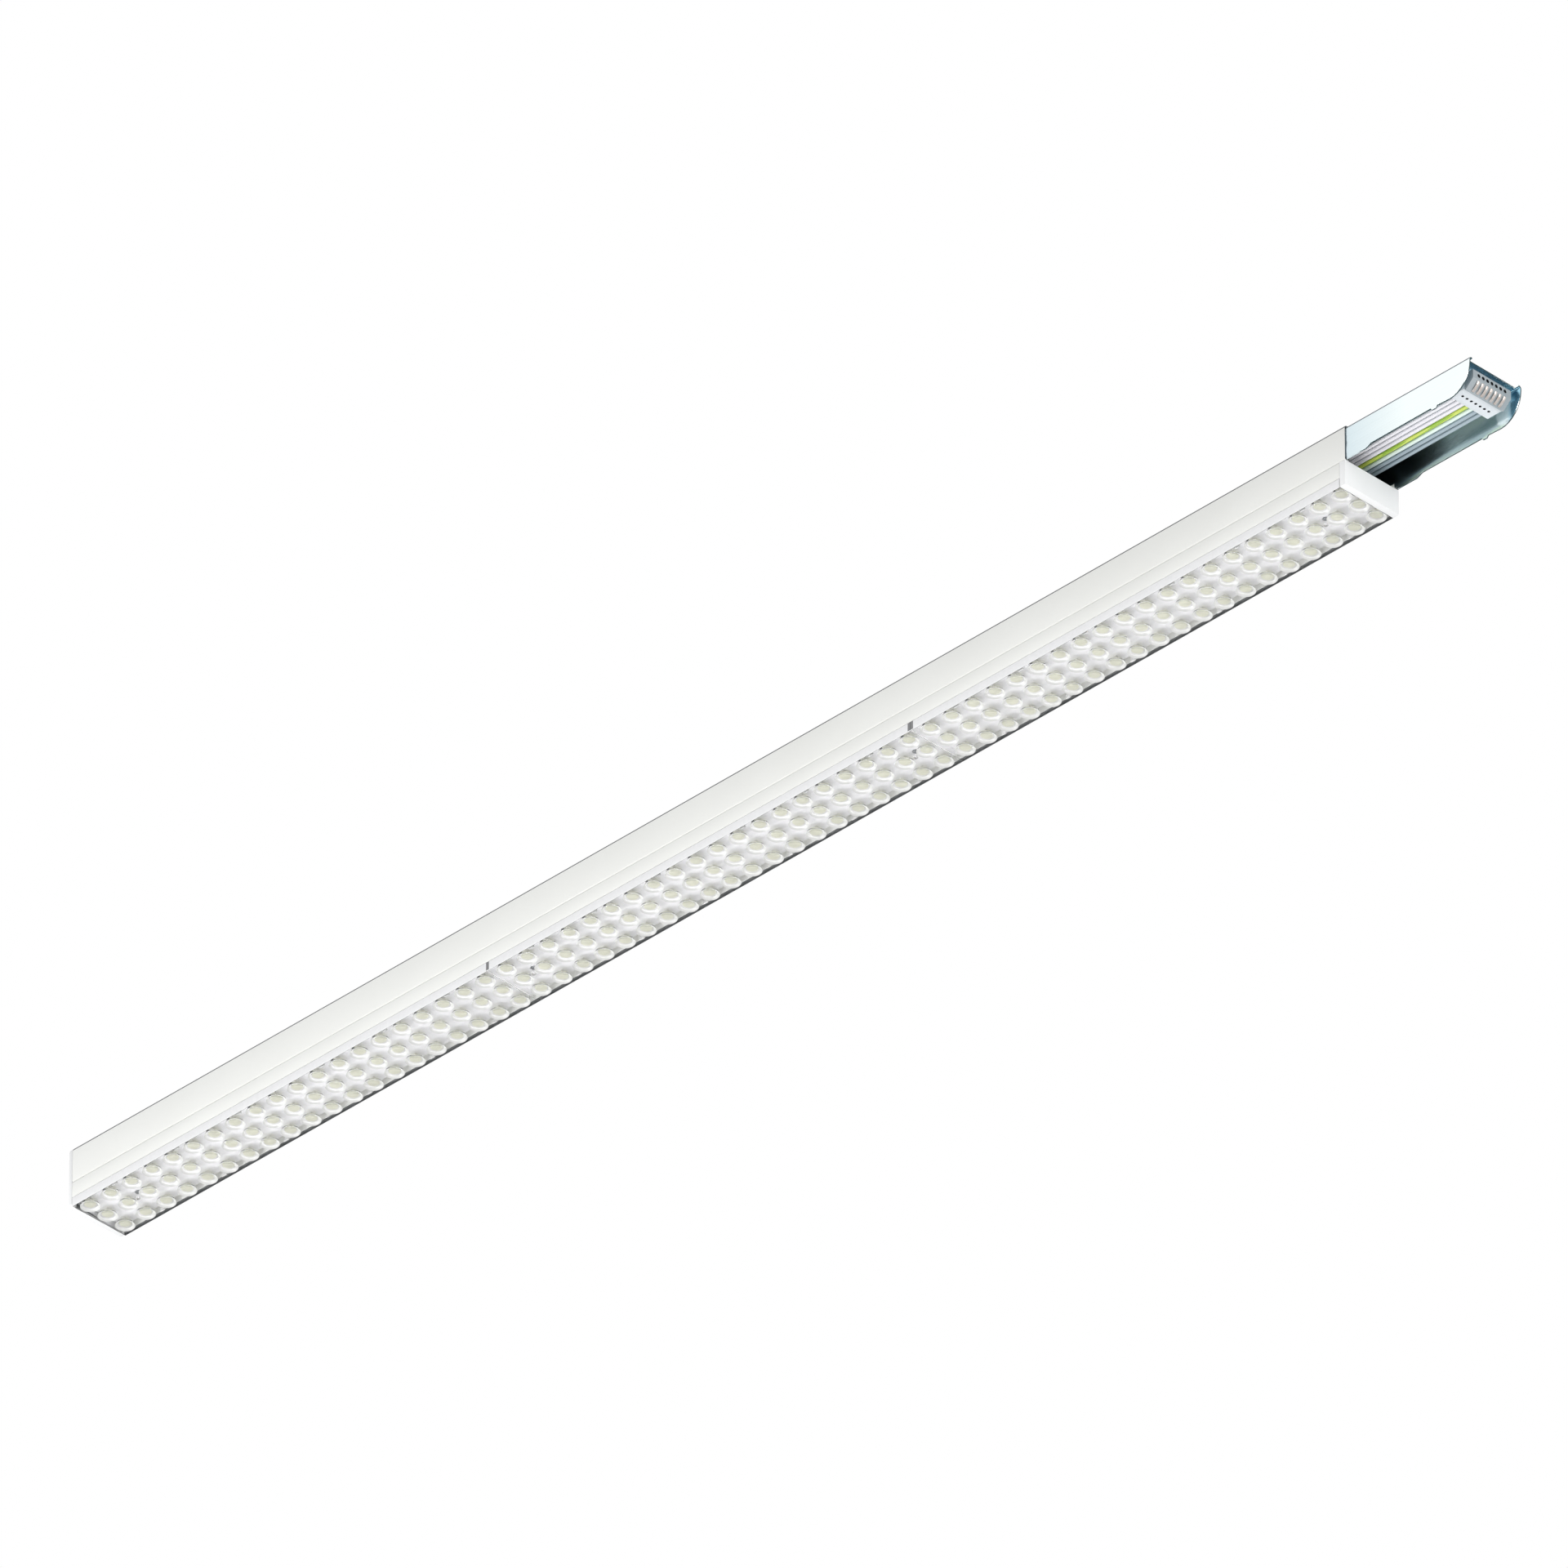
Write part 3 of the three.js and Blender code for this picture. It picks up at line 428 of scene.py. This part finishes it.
def finish_piece(name, form, node, materials=None, crease=35):
    """Turns a form into a piece in metres that stands for its CAD node and rides on its body."""
    weld = 0.002 * MM
    mesh = bpy.data.meshes.new(name)
    mesh.from_pydata([(x * MM, y * MM, z * MM) for x, y, z in form.points], [], form.faces)
    mesh.polygons.foreach_set("material_index", form.finish)
    bm = bmesh.new()
    bm.from_mesh(mesh)
    bmesh.ops.remove_doubles(bm, verts=bm.verts, dist=weld)
    bmesh.ops.recalc_face_normals(bm, faces=bm.faces)
    if bm.calc_volume(signed=True) < 0:
        bmesh.ops.reverse_faces(bm, faces=bm.faces)
    for face in bm.faces:
        face.smooth = True
    for edge in bm.edges:
        edge.smooth = edge.is_manifold and edge.calc_face_angle(0) < math.radians(crease)
    bm.to_mesh(mesh)
    bm.free()
    piece = bpy.data.objects.new(name, mesh)
    bpy.context.scene.collection.objects.link(piece)
    for material in materials or [MATERIALS[SLOT_OF[node]]]:
        mesh.materials.append(material)
    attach(piece, BODY_OF[node])
    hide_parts(node)


def soft_copy(node, width=0.25, segments=2, crease=38):
    """A CAD node's shape as a form, with its sharp edges rounded."""
    bm = bmesh.new()
    bm.from_mesh(frame["nodes"][node].data)
    bmesh.ops.scale(bm, verts=bm.verts, vec=(1 / MM,) * 3)
    bmesh.ops.remove_doubles(bm, verts=bm.verts, dist=0.002)
    bmesh.ops.dissolve_limit(bm, angle_limit=math.radians(1.5), verts=bm.verts, edges=bm.edges)
    sharp = [e for e in bm.edges if e.is_manifold and e.calc_face_angle(0) > math.radians(crease)]
    bmesh.ops.bevel(bm, geom=sharp, offset=width, segments=segments, profile=0.5,
                    affect="EDGES", clamp_overlap=True)
    return Form().take(bm)


def finished_copy(node, width=0.25, segments=2, crease=38):
    """A CAD node's shape with rounded edges, in its own slot's material."""
    finish_piece("finished_" + node, soft_copy(node, width, segments, crease), node)


def paint(form, finish, chosen):
    """Gives a finish number to the faces whose points all pass a test."""
    for i, face in enumerate(form.faces):
        if all(chosen(*form.points[k]) for k in face):
            form.finish[i] = finish


# ---------------------------------------------------------------- trunking side

WIRES = [node for node in frame["nodes"] if node.startswith("wire_") and "comb" not in node]


def trunking_profile():
    """White outside, with painted shade on the tight top bends; the cut end is dark bare steel, which also
    stands in for the shade at the joint with the sleeve.
    """
    cut_depth = 0.13
    form = soft_copy("trunking_profile", 0.12)
    high = span("trunking_profile")[1]
    # Painted shade: faces on the outer top bends get the dark grey.
    paint(form, 1, lambda x, y, z: bend_angle(y, z, high, 3.0) < 50)
    # Bare steel on the cut end, dark enough to stand in for the shade at the joint with the sleeve.
    paint(form, 2, lambda x, y, z: x > high.x - cut_depth)
    finish_piece("finished_trunking_profile", form, "trunking_profile",
                 materials=[MATERIALS["white_paint"], BEND_AND_LIP_SHADE, CUT_EDGE_AND_SHADE])


def bend_angle(y, z, high, radius):
    """How far round one of a profile's outer top bends a point lies, in degrees; 360 if it's off them."""
    out = abs(y) - high.y + radius
    up = z - high.z + radius
    on_bend = abs(math.hypot(out, up) - radius) < 0.1 and out > 0 and up > -0.01
    return math.degrees(math.atan2(up, out)) if on_bend else 360


def coupler_sleeve():
    """Bright zinc plate. Inside it is darker and bluer: painted reflection and shade. The tight top bends
    are dark: painted shade.
    """
    form = soft_copy("coupler_sleeve", 0.15)
    high = span("coupler_sleeve")[1]
    sheet, slack = 1.5, 0.05
    inner = high.y - sheet + slack
    ceiling = high.z - sheet + slack
    # Painted shade: the tight top bends get the dark steel.
    paint(form, 1, lambda x, y, z: bend_angle(y, z, high, 2.95) < 60)
    # Painted reflection and shade on the inner faces.
    paint(form, 2, lambda x, y, z: abs(y) < inner and z < ceiling)
    finish_piece("finished_coupler_sleeve", form, "coupler_sleeve",
                 materials=[MATERIALS["zinc_steel"], CUT_EDGE_AND_SHADE, INSIDE_REFLECTION_AND_SHADE])


trunking_profile()
coupler_sleeve()
finished_copy("end_cover", 0.4, 3, 50)
for name in ("start_connector", "wire_comb_1", "wire_comb_2", "wire_comb_3", "feed_socket"):
    finished_copy(name, 0.4)
for name in ("coupler_screw_1", "coupler_screw_2"):
    finished_copy(name, 0.3)


def wires():
    """The through-wires as round insulated wires with rounded ends."""
    soft = 0.3
    for node in WIRES:
        low, high = span(node)
        middle = low.lerp(high, 0.5)
        radius = (high.z - low.z) / 2
        profile = [(0, low.x), (radius - soft, low.x), (radius, low.x + soft),
                   (radius, high.x - soft), (radius - soft, high.x), (0, high.x)]
        form = Form().turned(profile, (0, middle.y, middle.z), "X", 24)
        finish_piece("insulated_" + node, form, node)


wires()


def connector():
    """The housing and the front, with painted shade in the bores, test holes and sockets, and the contacts.
    """
    poles = [span(node)[0].lerp(span(node)[1], 0.5) for node in WIRES]
    test_x = span("connector_housing")[0].x + 9
    form = soft_copy("connector_housing", 0.2)
    # Painted shade: the faces of the test holes and bores get the near-black plastic.
    for pole in poles:
        paint(form, 1, lambda x, y, z: math.hypot(x - test_x, y - pole.y) < 1.5)
        paint(form, 1, lambda x, y, z: math.hypot(y - pole.y, z - pole.z) < 2.3)
    finish_piece("finished_connector_housing", form, "connector_housing",
                 materials=[CONNECTOR_WHITE, HOLE_SHADE])
    socket_z = span("connector_front")[1].z - 4.2
    form = soft_copy("connector_front", 0.3)
    # Painted shade: the faces of the sockets get the same near-black plastic.
    for pole in poles:
        paint(form, 1, lambda x, y, z: math.hypot(y - pole.y, z - socket_z) < 2.0)
    finish_piece("finished_connector_front", form, "connector_front",
                 materials=[MATERIALS["grey_plastic"], HOLE_SHADE])
    for k in range(1, len(WIRES) + 1):
        finished_copy(f"contact_{k}", 0.12)


connector()

# ---------------------------------------------------------------- tray side


def gear_tray():
    """The tray in white, with painted shade in dark grey on the inner faces of its lower lips."""
    form = soft_copy("gear_tray", 0.15)
    low = span("gear_tray")[0]
    lip_top = low.z + 6
    lip_inner = -low.y - 3.0
    # Painted shade: the inner faces of the lower lips get the dark grey.
    paint(form, 1, lambda x, y, z: abs(y) < lip_inner and z < lip_top)
    finish_piece("finished_gear_tray", form, "gear_tray", materials=[MATERIALS["white_paint"], BEND_AND_LIP_SHADE])


gear_tray()
finished_copy("tray_end_cap", 0.5, 3)
for k in range(1, 5):
    finished_copy(f"spring_clip_{k}", 0.15)
    finished_copy(f"clip_screw_{k}", 0.3)
for name in ("board_link_1", "board_link_2", "board_connector", "driver_base", "driver_cover",
             "driver_input_terminal", "driver_output_terminal",
             "driver_screw_1", "driver_screw_2", "plug_body", "phase_selector"):
    finished_copy(name, 0.35)


def driver_circuit():
    """A green board with a taped transformer, a metal cooler and black parts."""
    form = soft_copy("driver_circuit", 0.3)
    board_top = span("driver_circuit")[0].z + 1.7
    transformer, cooler = (-31, 5), (23, 28)
    paint(form, 1, lambda x, y, z: z > board_top)
    paint(form, 2, lambda x, y, z: z > board_top and transformer[0] < x < transformer[1])
    paint(form, 3, lambda x, y, z: z > board_top and cooler[0] < x < cooler[1])
    materials = [MATERIALS["circuit_green"], PART_BLACK, TAPE_YELLOW, MATERIALS["spring_steel"]]
    finish_piece("fitted_driver_circuit", form, "driver_circuit", materials=materials)


driver_circuit()
for name in ("lead_live", "lead_earth", "lead_neutral", "output_lead_minus", "output_lead_plus"):
    finished_copy(name, 0.2, 1, 60)


# ---------------------------------------------------------------- LED boards and lens plates

COLUMN_PITCH = 28.0
COLUMNS = 60
COLUMN_X = [(i - (COLUMNS - 1) / 2) * COLUMN_PITCH for i in range(COLUMNS)]
ROW_PITCH = 23.0
ROWS = (-ROW_PITCH, 0.0, ROW_PITCH)
MODULE = 10 * COLUMN_PITCH
FIXINGS = (-784.0, -252.0, 252.0, 784.0)


def led_package():
    """One LED: a white body with a dome of yellow phosphor that faces down."""
    body, dome = 1, 2
    unit = Form()
    unit.block((-2.6, 2.6), (-2.6, 2.6), (-0.75, 0.02), 0.2, body)
    profile = [(0, -0.92), (1.3, -0.88), (2.1, -0.76), (2.15, -0.6), (0, -0.6)]
    return unit.turned(profile, (0, 0, 0), "Z", 20, dome)


def led_boards():
    """The boards with their LED packages and small parts."""
    unit = led_package()
    for k in (1, 2, 3):
        node = f"led_board_{k}"
        low, high = span(node)
        form = soft_copy(node, 0.1)
        columns = [x for x in COLUMN_X if low.x < x < high.x]
        form.stamp(unit, [(x, y, low.z) for x in columns for y in ROWS])
        chip = Form().block((-1.0, 1.0), (-0.6, 0.6), (-0.55, 0.02), 0.1, 3)
        between = (-ROW_PITCH / 2, ROW_PITCH / 2)
        form.stamp(chip, [(x + COLUMN_PITCH / 2, y, low.z) for x in columns[4::5] for y in between])
        materials = [MATERIALS["board_white"], PACKAGE_WHITE, PHOSPHOR, PART_BLACK]
        finish_piece("populated_" + node, form, node, materials=materials)


led_boards()


def rays(left, right, down, up, notches):
    """The angles at which a cell's edge gets a point: an even fan, its corners and its notches."""
    steps = 32
    fan = [2 * math.pi * k / steps for k in range(steps)]
    corners = [math.atan2(v, u) % (2 * math.pi) for u in (-left, right) for v in (-down, up)]
    extra = []
    for side, radius in notches:
        reach = right if side > 0 else left
        for k in range(-3, 4):
            v = radius * math.sin(k * math.pi / 6)
            extra.append(math.atan2(v, side * reach) % (2 * math.pi))
    same_angle = 1e-4
    angles = sorted(fan + corners + extra)
    kept = [angles[0]]
    for angle in angles[1:]:
        if angle - kept[-1] > same_angle:
            kept.append(angle)
    return kept


def edge_point(angle, left, right, down, up, notches):
    """Where a ray from the lens centre meets the cell's edge, drawn in round a notch."""
    tiny = 1e-9
    u, v = math.cos(angle), math.sin(angle)
    reach = min((right if u > 0 else left) / max(abs(u), tiny), (up if v > 0 else down) / max(abs(v), tiny))
    x, y = u * reach, v * reach
    for side, radius in notches:
        if side * x > (right if side > 0 else left) - SAME_PLACE and abs(y) < radius:
            x -= side * math.sqrt(radius * radius - y * y)
    return x, y


RING, CORE, PAINTED_GLOW, FROSTED_WITH_SHADE, SHADED = 1, 2, 3, 4, 5
PLATE = 2.2
RIM = 2.0
SCREW_HOLE = 2.2
# Each ring of a lens has a radius, a height over the plate's face and the finish of the band inside it.
LOWER_TOP = 0.5
DOME_RADIUS, DOME_BASE, DOME_DROP = 6.4, 1.75, 1.2
LOWER_RINGS = [(9.75, 0.0, RING), (9.5, 0.3, RING), (8.2, 1.1, RING), (7.4, 1.75, RING), (7.0, 1.8, CORE)]
LOWER_RINGS += [(r, DOME_BASE - DOME_DROP * (1 - (r / DOME_RADIUS) ** 2), CORE)
                for r in (6.0, 5.0, 3.8, 2.4, 1.2)]
BULB_RADIUS, BULB_BASE, BULB_RISE = 9.0, 0.5, 3.2
UPPER_RINGS = [(9.2, 0.0, 0), (BULB_RADIUS, BULB_BASE, 0)]
# The top of each bulb gets the painted glow.
UPPER_RINGS += [(BULB_RADIUS * math.cos(a), BULB_BASE + BULB_RISE * math.sin(a), PAINTED_GLOW if a > 0.8 else 0)
                for a in (0.3, 0.6, 0.9, 1.2, 1.4)]
UPPER_TOP = BULB_BASE + BULB_RISE


def lens_plate(node):
    """A clear plate with three rows of round lenses, a rim along both sides and snap tabs."""
    low, high = span(node)
    form = Form()
    columns = [x for x in COLUMN_X if low.x < x < high.x]
    to_rim = high.y - RIM - ROW_PITCH
    for x in columns:
        left = x - low.x if x == columns[0] else COLUMN_PITCH / 2
        right = high.x - x if x == columns[-1] else COLUMN_PITCH / 2
        for y in ROWS:
            down = to_rim if y == ROWS[0] else ROW_PITCH / 2
            up = to_rim if y == ROWS[-1] else ROW_PITCH / 2
            notches = [(side, SCREW_HOLE) for side in (-1, 1)
                       if y == 0 and x + side * COLUMN_PITCH / 2 in FIXINGS]
            cell(form, (x, y), (left, right, down, up), notches, low, high)
    tabs(form, low, high)
    materials = [MATERIALS["clear_plastic"], LENS_RING, LENS_CORE, LENS_PAINTED_GLOW, FROSTED_RIM_AND_SHADE, SHADED_WALL]
    finish_piece("clear_" + node, form, node, materials, crease=30)


def cell(form, centre, reach, notches, low, high):
    """One lens with the plate around it. A notch is half of a screw hole, in its left or right edge."""
    angles = rays(*reach, notches)
    edge = [edge_point(a, *reach, notches) for a in angles]
    edge = [(centre[0] + x, centre[1] + y) for x, y in edge]
    n = len(angles)
    for level, rings, top in ((low.z, LOWER_RINGS, LOWER_TOP), (low.z + PLATE, UPPER_RINGS, UPPER_TOP)):
        outside = [(x, y, level) for x, y in edge]
        finish = 0
        for radius, lift, inner_finish in rings:
            inside = [(centre[0] + radius * math.cos(a), centre[1] + radius * math.sin(a), level + lift)
                      for a in angles]
            bands = [[k, (k + 1) % n, n + (k + 1) % n, n + k] for k in range(n)]
            form.add(outside + inside, bands, finish)
            outside, finish = inside, inner_finish
        form.add(outside + [(*centre, level + top)], [[k, (k + 1) % n, n] for k in range(n)], finish)
    side_walls(form, centre, edge, notches, low, high)


def side_walls(form, centre, edge, notches, low, high):
    """Closes a cell where it has no neighbour: at the plate's ends, at screw holes and along the rims."""
    bottom, top = low.z, low.z + PLATE
    for (x0, y0), (x1, y1) in zip(edge, edge[1:] + edge[:1]):
        at_end = any(abs(x0 - end) < SAME_PLACE and abs(x1 - end) < SAME_PLACE for end in (low.x, high.x))
        in_hole = notches and any(
            abs(y) < SCREW_HOLE + 0.1 and abs(x - centre[0]) < COLUMN_PITCH / 2 - SAME_PLACE
            for x, y in ((x0, y0), (x1, y1)))
        if at_end or in_hole:
            form.add([(x0, y0, bottom), (x1, y1, bottom), (x1, y1, top), (x0, y0, top)], [[0, 1, 2, 3]])
        if min(abs(y0), abs(y1)) > high.y - RIM - 0.1:
            rim_strip(form, x0, x1, 1 if y0 > 0 else -1, low, high)


def rim_strip(form, x0, x1, side, low, high):
    """A stretch of the rim: frosted outside, dark along its top and at its end where two plates meet."""
    half = high.y
    profile = [(half - RIM, low.z), (half - 0.5, low.z), (half - 0.15, low.z + 0.15),
               (half, low.z + 0.5), (half, high.z - 0.6), (half - 0.4, high.z),
               (half - RIM, high.z), (half - RIM, low.z + PLATE)]
    n = len(profile)
    points = [(x, side * y, z) for x in (x0, x1) for y, z in profile]
    at_end = min(abs(x - end) for x in (x0, x1) for end in (low.x, high.x)) < SAME_PLACE
    wall = SHADED if at_end and abs(x0) < MODULE + 1 else FROSTED_WITH_SHADE
    for i, finish in enumerate((0, FROSTED_WITH_SHADE, FROSTED_WITH_SHADE, wall, SHADED, 0, 0)):
        form.add([points[j] for j in (i, i + 1, n + i + 1, n + i)], [[0, 1, 2, 3]], finish)
    for x, start in ((x0, 0), (x1, n)):
        if min(abs(x - low.x), abs(x - high.x)) < SAME_PLACE:
            form.add(points[start:start + n], [list(range(n))])


def tabs(form, low, high):
    """Snap tabs inside both rims, three to a module, and a cross wall at the unit's left end."""
    tab_spacing = 84
    left_end = -800
    foot = low.z + PLATE + 0.02
    for module in range(-3, 3):
        middle = (module + 0.5) * MODULE
        for x in (middle - tab_spacing, middle, middle + tab_spacing):
            if low.x < x < high.x:
                for ys in ((-32.1, -30.6), (30.6, 32.1)):
                    form.block((x - 3, x + 3), ys, (foot, high.z - 2), 0.25, RING)
    if low.x < left_end:
        form.block((low.x + 0.05, low.x + 1.4), (-30, 30), (foot, high.z - 1), 0.2)


for k in (1, 2, 3):
    lens_plate(f"lens_plate_{k}")


# ---------------------------------------------------------------- camera, lights and floor


def camera():
    """A long-lens view from below, at 45 degrees to the unit's length."""
    azimuth, elevation = math.radians(44.93), math.radians(-34.70)
    distance, shift_right, shift_up = 32.698, 0.0559, 0.0772
    back = Vector((math.sin(azimuth) * math.cos(elevation), -math.cos(azimuth) * math.cos(elevation),
                   math.sin(elevation)))
    right = Vector((math.cos(azimuth), math.sin(azimuth), 0))
    up = back.cross(right)
    aim = Vector((0, 0, span("lens_plate_2")[0].z * MM))
    data = bpy.data.cameras.new("camera")
    data.sensor_width = 36
    data.lens = 804.1
    data.clip_start = 1
    data.clip_end = 200
    eye = bpy.data.objects.new("camera", data)
    bpy.context.scene.collection.objects.link(eye)
    turn = Matrix((right, up, back)).transposed()
    place = aim + back * distance + right * shift_right + up * shift_up
    eye.matrix_world = Matrix.Translation(place) @ turn.to_4x4()
    bpy.context.scene.camera = eye


camera()


def lamp(name, place, size, aim, energy):
    """A soft white rectangular lamp that points at a spot and stays out of the picture."""
    data = bpy.data.lights.new(name, "AREA")
    data.shape = "RECTANGLE"
    data.size, data.size_y = size
    data.energy = energy
    obj = bpy.data.objects.new(name, data)
    obj.location = place
    obj.rotation_euler = (Vector(aim) - Vector(place)).to_track_quat("-Z", "Y").to_euler()
    obj.visible_camera = False
    bpy.context.scene.collection.objects.link(obj)


def studio():
    """Soft light from all round, stronger from below and in front. Mirrors see a sky with a dark side."""
    world = bpy.data.worlds.new("studio")
    bpy.context.scene.world = world
    world.use_nodes = True
    tree = world.node_tree
    shown = tree.nodes["Background"]
    shown.inputs["Color"].default_value = (1, 1, 1, 1)
    shown.inputs["Strength"].default_value = 1.0
    place = tree.nodes.new("ShaderNodeTexCoord").outputs["Generated"]
    path = tree.nodes.new("ShaderNodeLightPath")
    soft = sky(tree, place, (0.1, -0.5, -0.86), (-1, 0.9), ((0.42, 0.43, 0.44), (0.78, 0.78, 0.775)))
    mirrored = sky(tree, place, (0, -0.8, 0.6), (-0.1, 0.5), ((0.03, 0.07, 0.08), (1.12, 1.15, 1.16)))
    in_mirror = tree.nodes.new("ShaderNodeMath")
    in_mirror.operation = "MULTIPLY"
    tree.links.new(path.outputs["Is Glossy Ray"], in_mirror.inputs[0])
    tree.links.new(path.outputs["Is Reflection Ray"], in_mirror.inputs[1])
    lighting = choose(tree, in_mirror.outputs[0], soft, mirrored)
    seen = choose(tree, path.outputs["Is Camera Ray"], lighting, shown.outputs[0])
    tree.links.new(seen, tree.nodes["World Output"].inputs["Surface"])
    lamp("lamp_below", (-3.5, -2.2, -4.0), (3, 3), (0, 0, 0), 110)
    lamp("lamp_side", (-0.5, -5.0, -0.8), (4, 3), (0, 0, 0), 25)
    lamp("lamp_end", (5.0, 0.8, -0.9), (2, 2), (0.9, 0, 0), 88)
    lamp("lamp_under", (0, 0, -5.0), (4, 1), (0, 0, 0), 40)
    lamp("lamp_strip", (0, -0.10, -0.10), (2.2, 0.02), (0, -0.03, -0.04), 0.12)
    bpy.context.scene.view_settings.view_transform = "Standard"


def sky(tree, place, towards, limits, colours):
    """A background that changes from one colour to another as it turns towards a direction."""
    share = tree.nodes.new("ShaderNodeVectorMath")
    share.operation = "DOT_PRODUCT"
    share.inputs[1].default_value = towards
    tree.links.new(place, share.inputs[0])
    spread = tree.nodes.new("ShaderNodeMapRange")
    spread.interpolation_type = "SMOOTHSTEP"
    spread.inputs["From Min"].default_value, spread.inputs["From Max"].default_value = limits
    tree.links.new(share.outputs["Value"], spread.inputs["Value"])
    mix = tree.nodes.new("ShaderNodeMix")
    mix.data_type = "RGBA"
    first, second = [socket for socket in mix.inputs if socket.type == "RGBA"]
    first.default_value, second.default_value = [(*colour, 1) for colour in colours]
    tree.links.new(spread.outputs["Result"], mix.inputs["Factor"])
    background = tree.nodes.new("ShaderNodeBackground")
    colour = next(socket for socket in mix.outputs if socket.type == "RGBA")
    tree.links.new(colour, background.inputs["Color"])
    return background.outputs[0]


studio()


def floor():
    """A pale floor far below, seen only from above so that it doesn't hide the unit from below."""
    finish = Finish("pale_floor", (0.86, 0.86, 0.86), 0.7)
    finish.mottled((0.85, 0.85, 0.85), (0.88, 0.88, 0.88), 0.8)
    clear = finish.add("BsdfTransparent")
    finish.switch(finish.add("NewGeometry").outputs["Backfacing"], clear.outputs[0])
    mesh = bpy.data.meshes.new("floor")
    reach, level = 40, -1.2
    mesh.from_pydata([(-reach, -reach, level), (reach, -reach, level), (reach, reach, level),
                      (-reach, reach, level)], [], [[0, 1, 2, 3]])
    mesh.materials.append(finish.material)
    obj = bpy.data.objects.new("floor", mesh)
    bpy.context.scene.collection.objects.link(obj)
    obj.visible_shadow = False
    obj.visible_diffuse = False
    obj.visible_glossy = False
    obj.visible_transmission = False


floor()
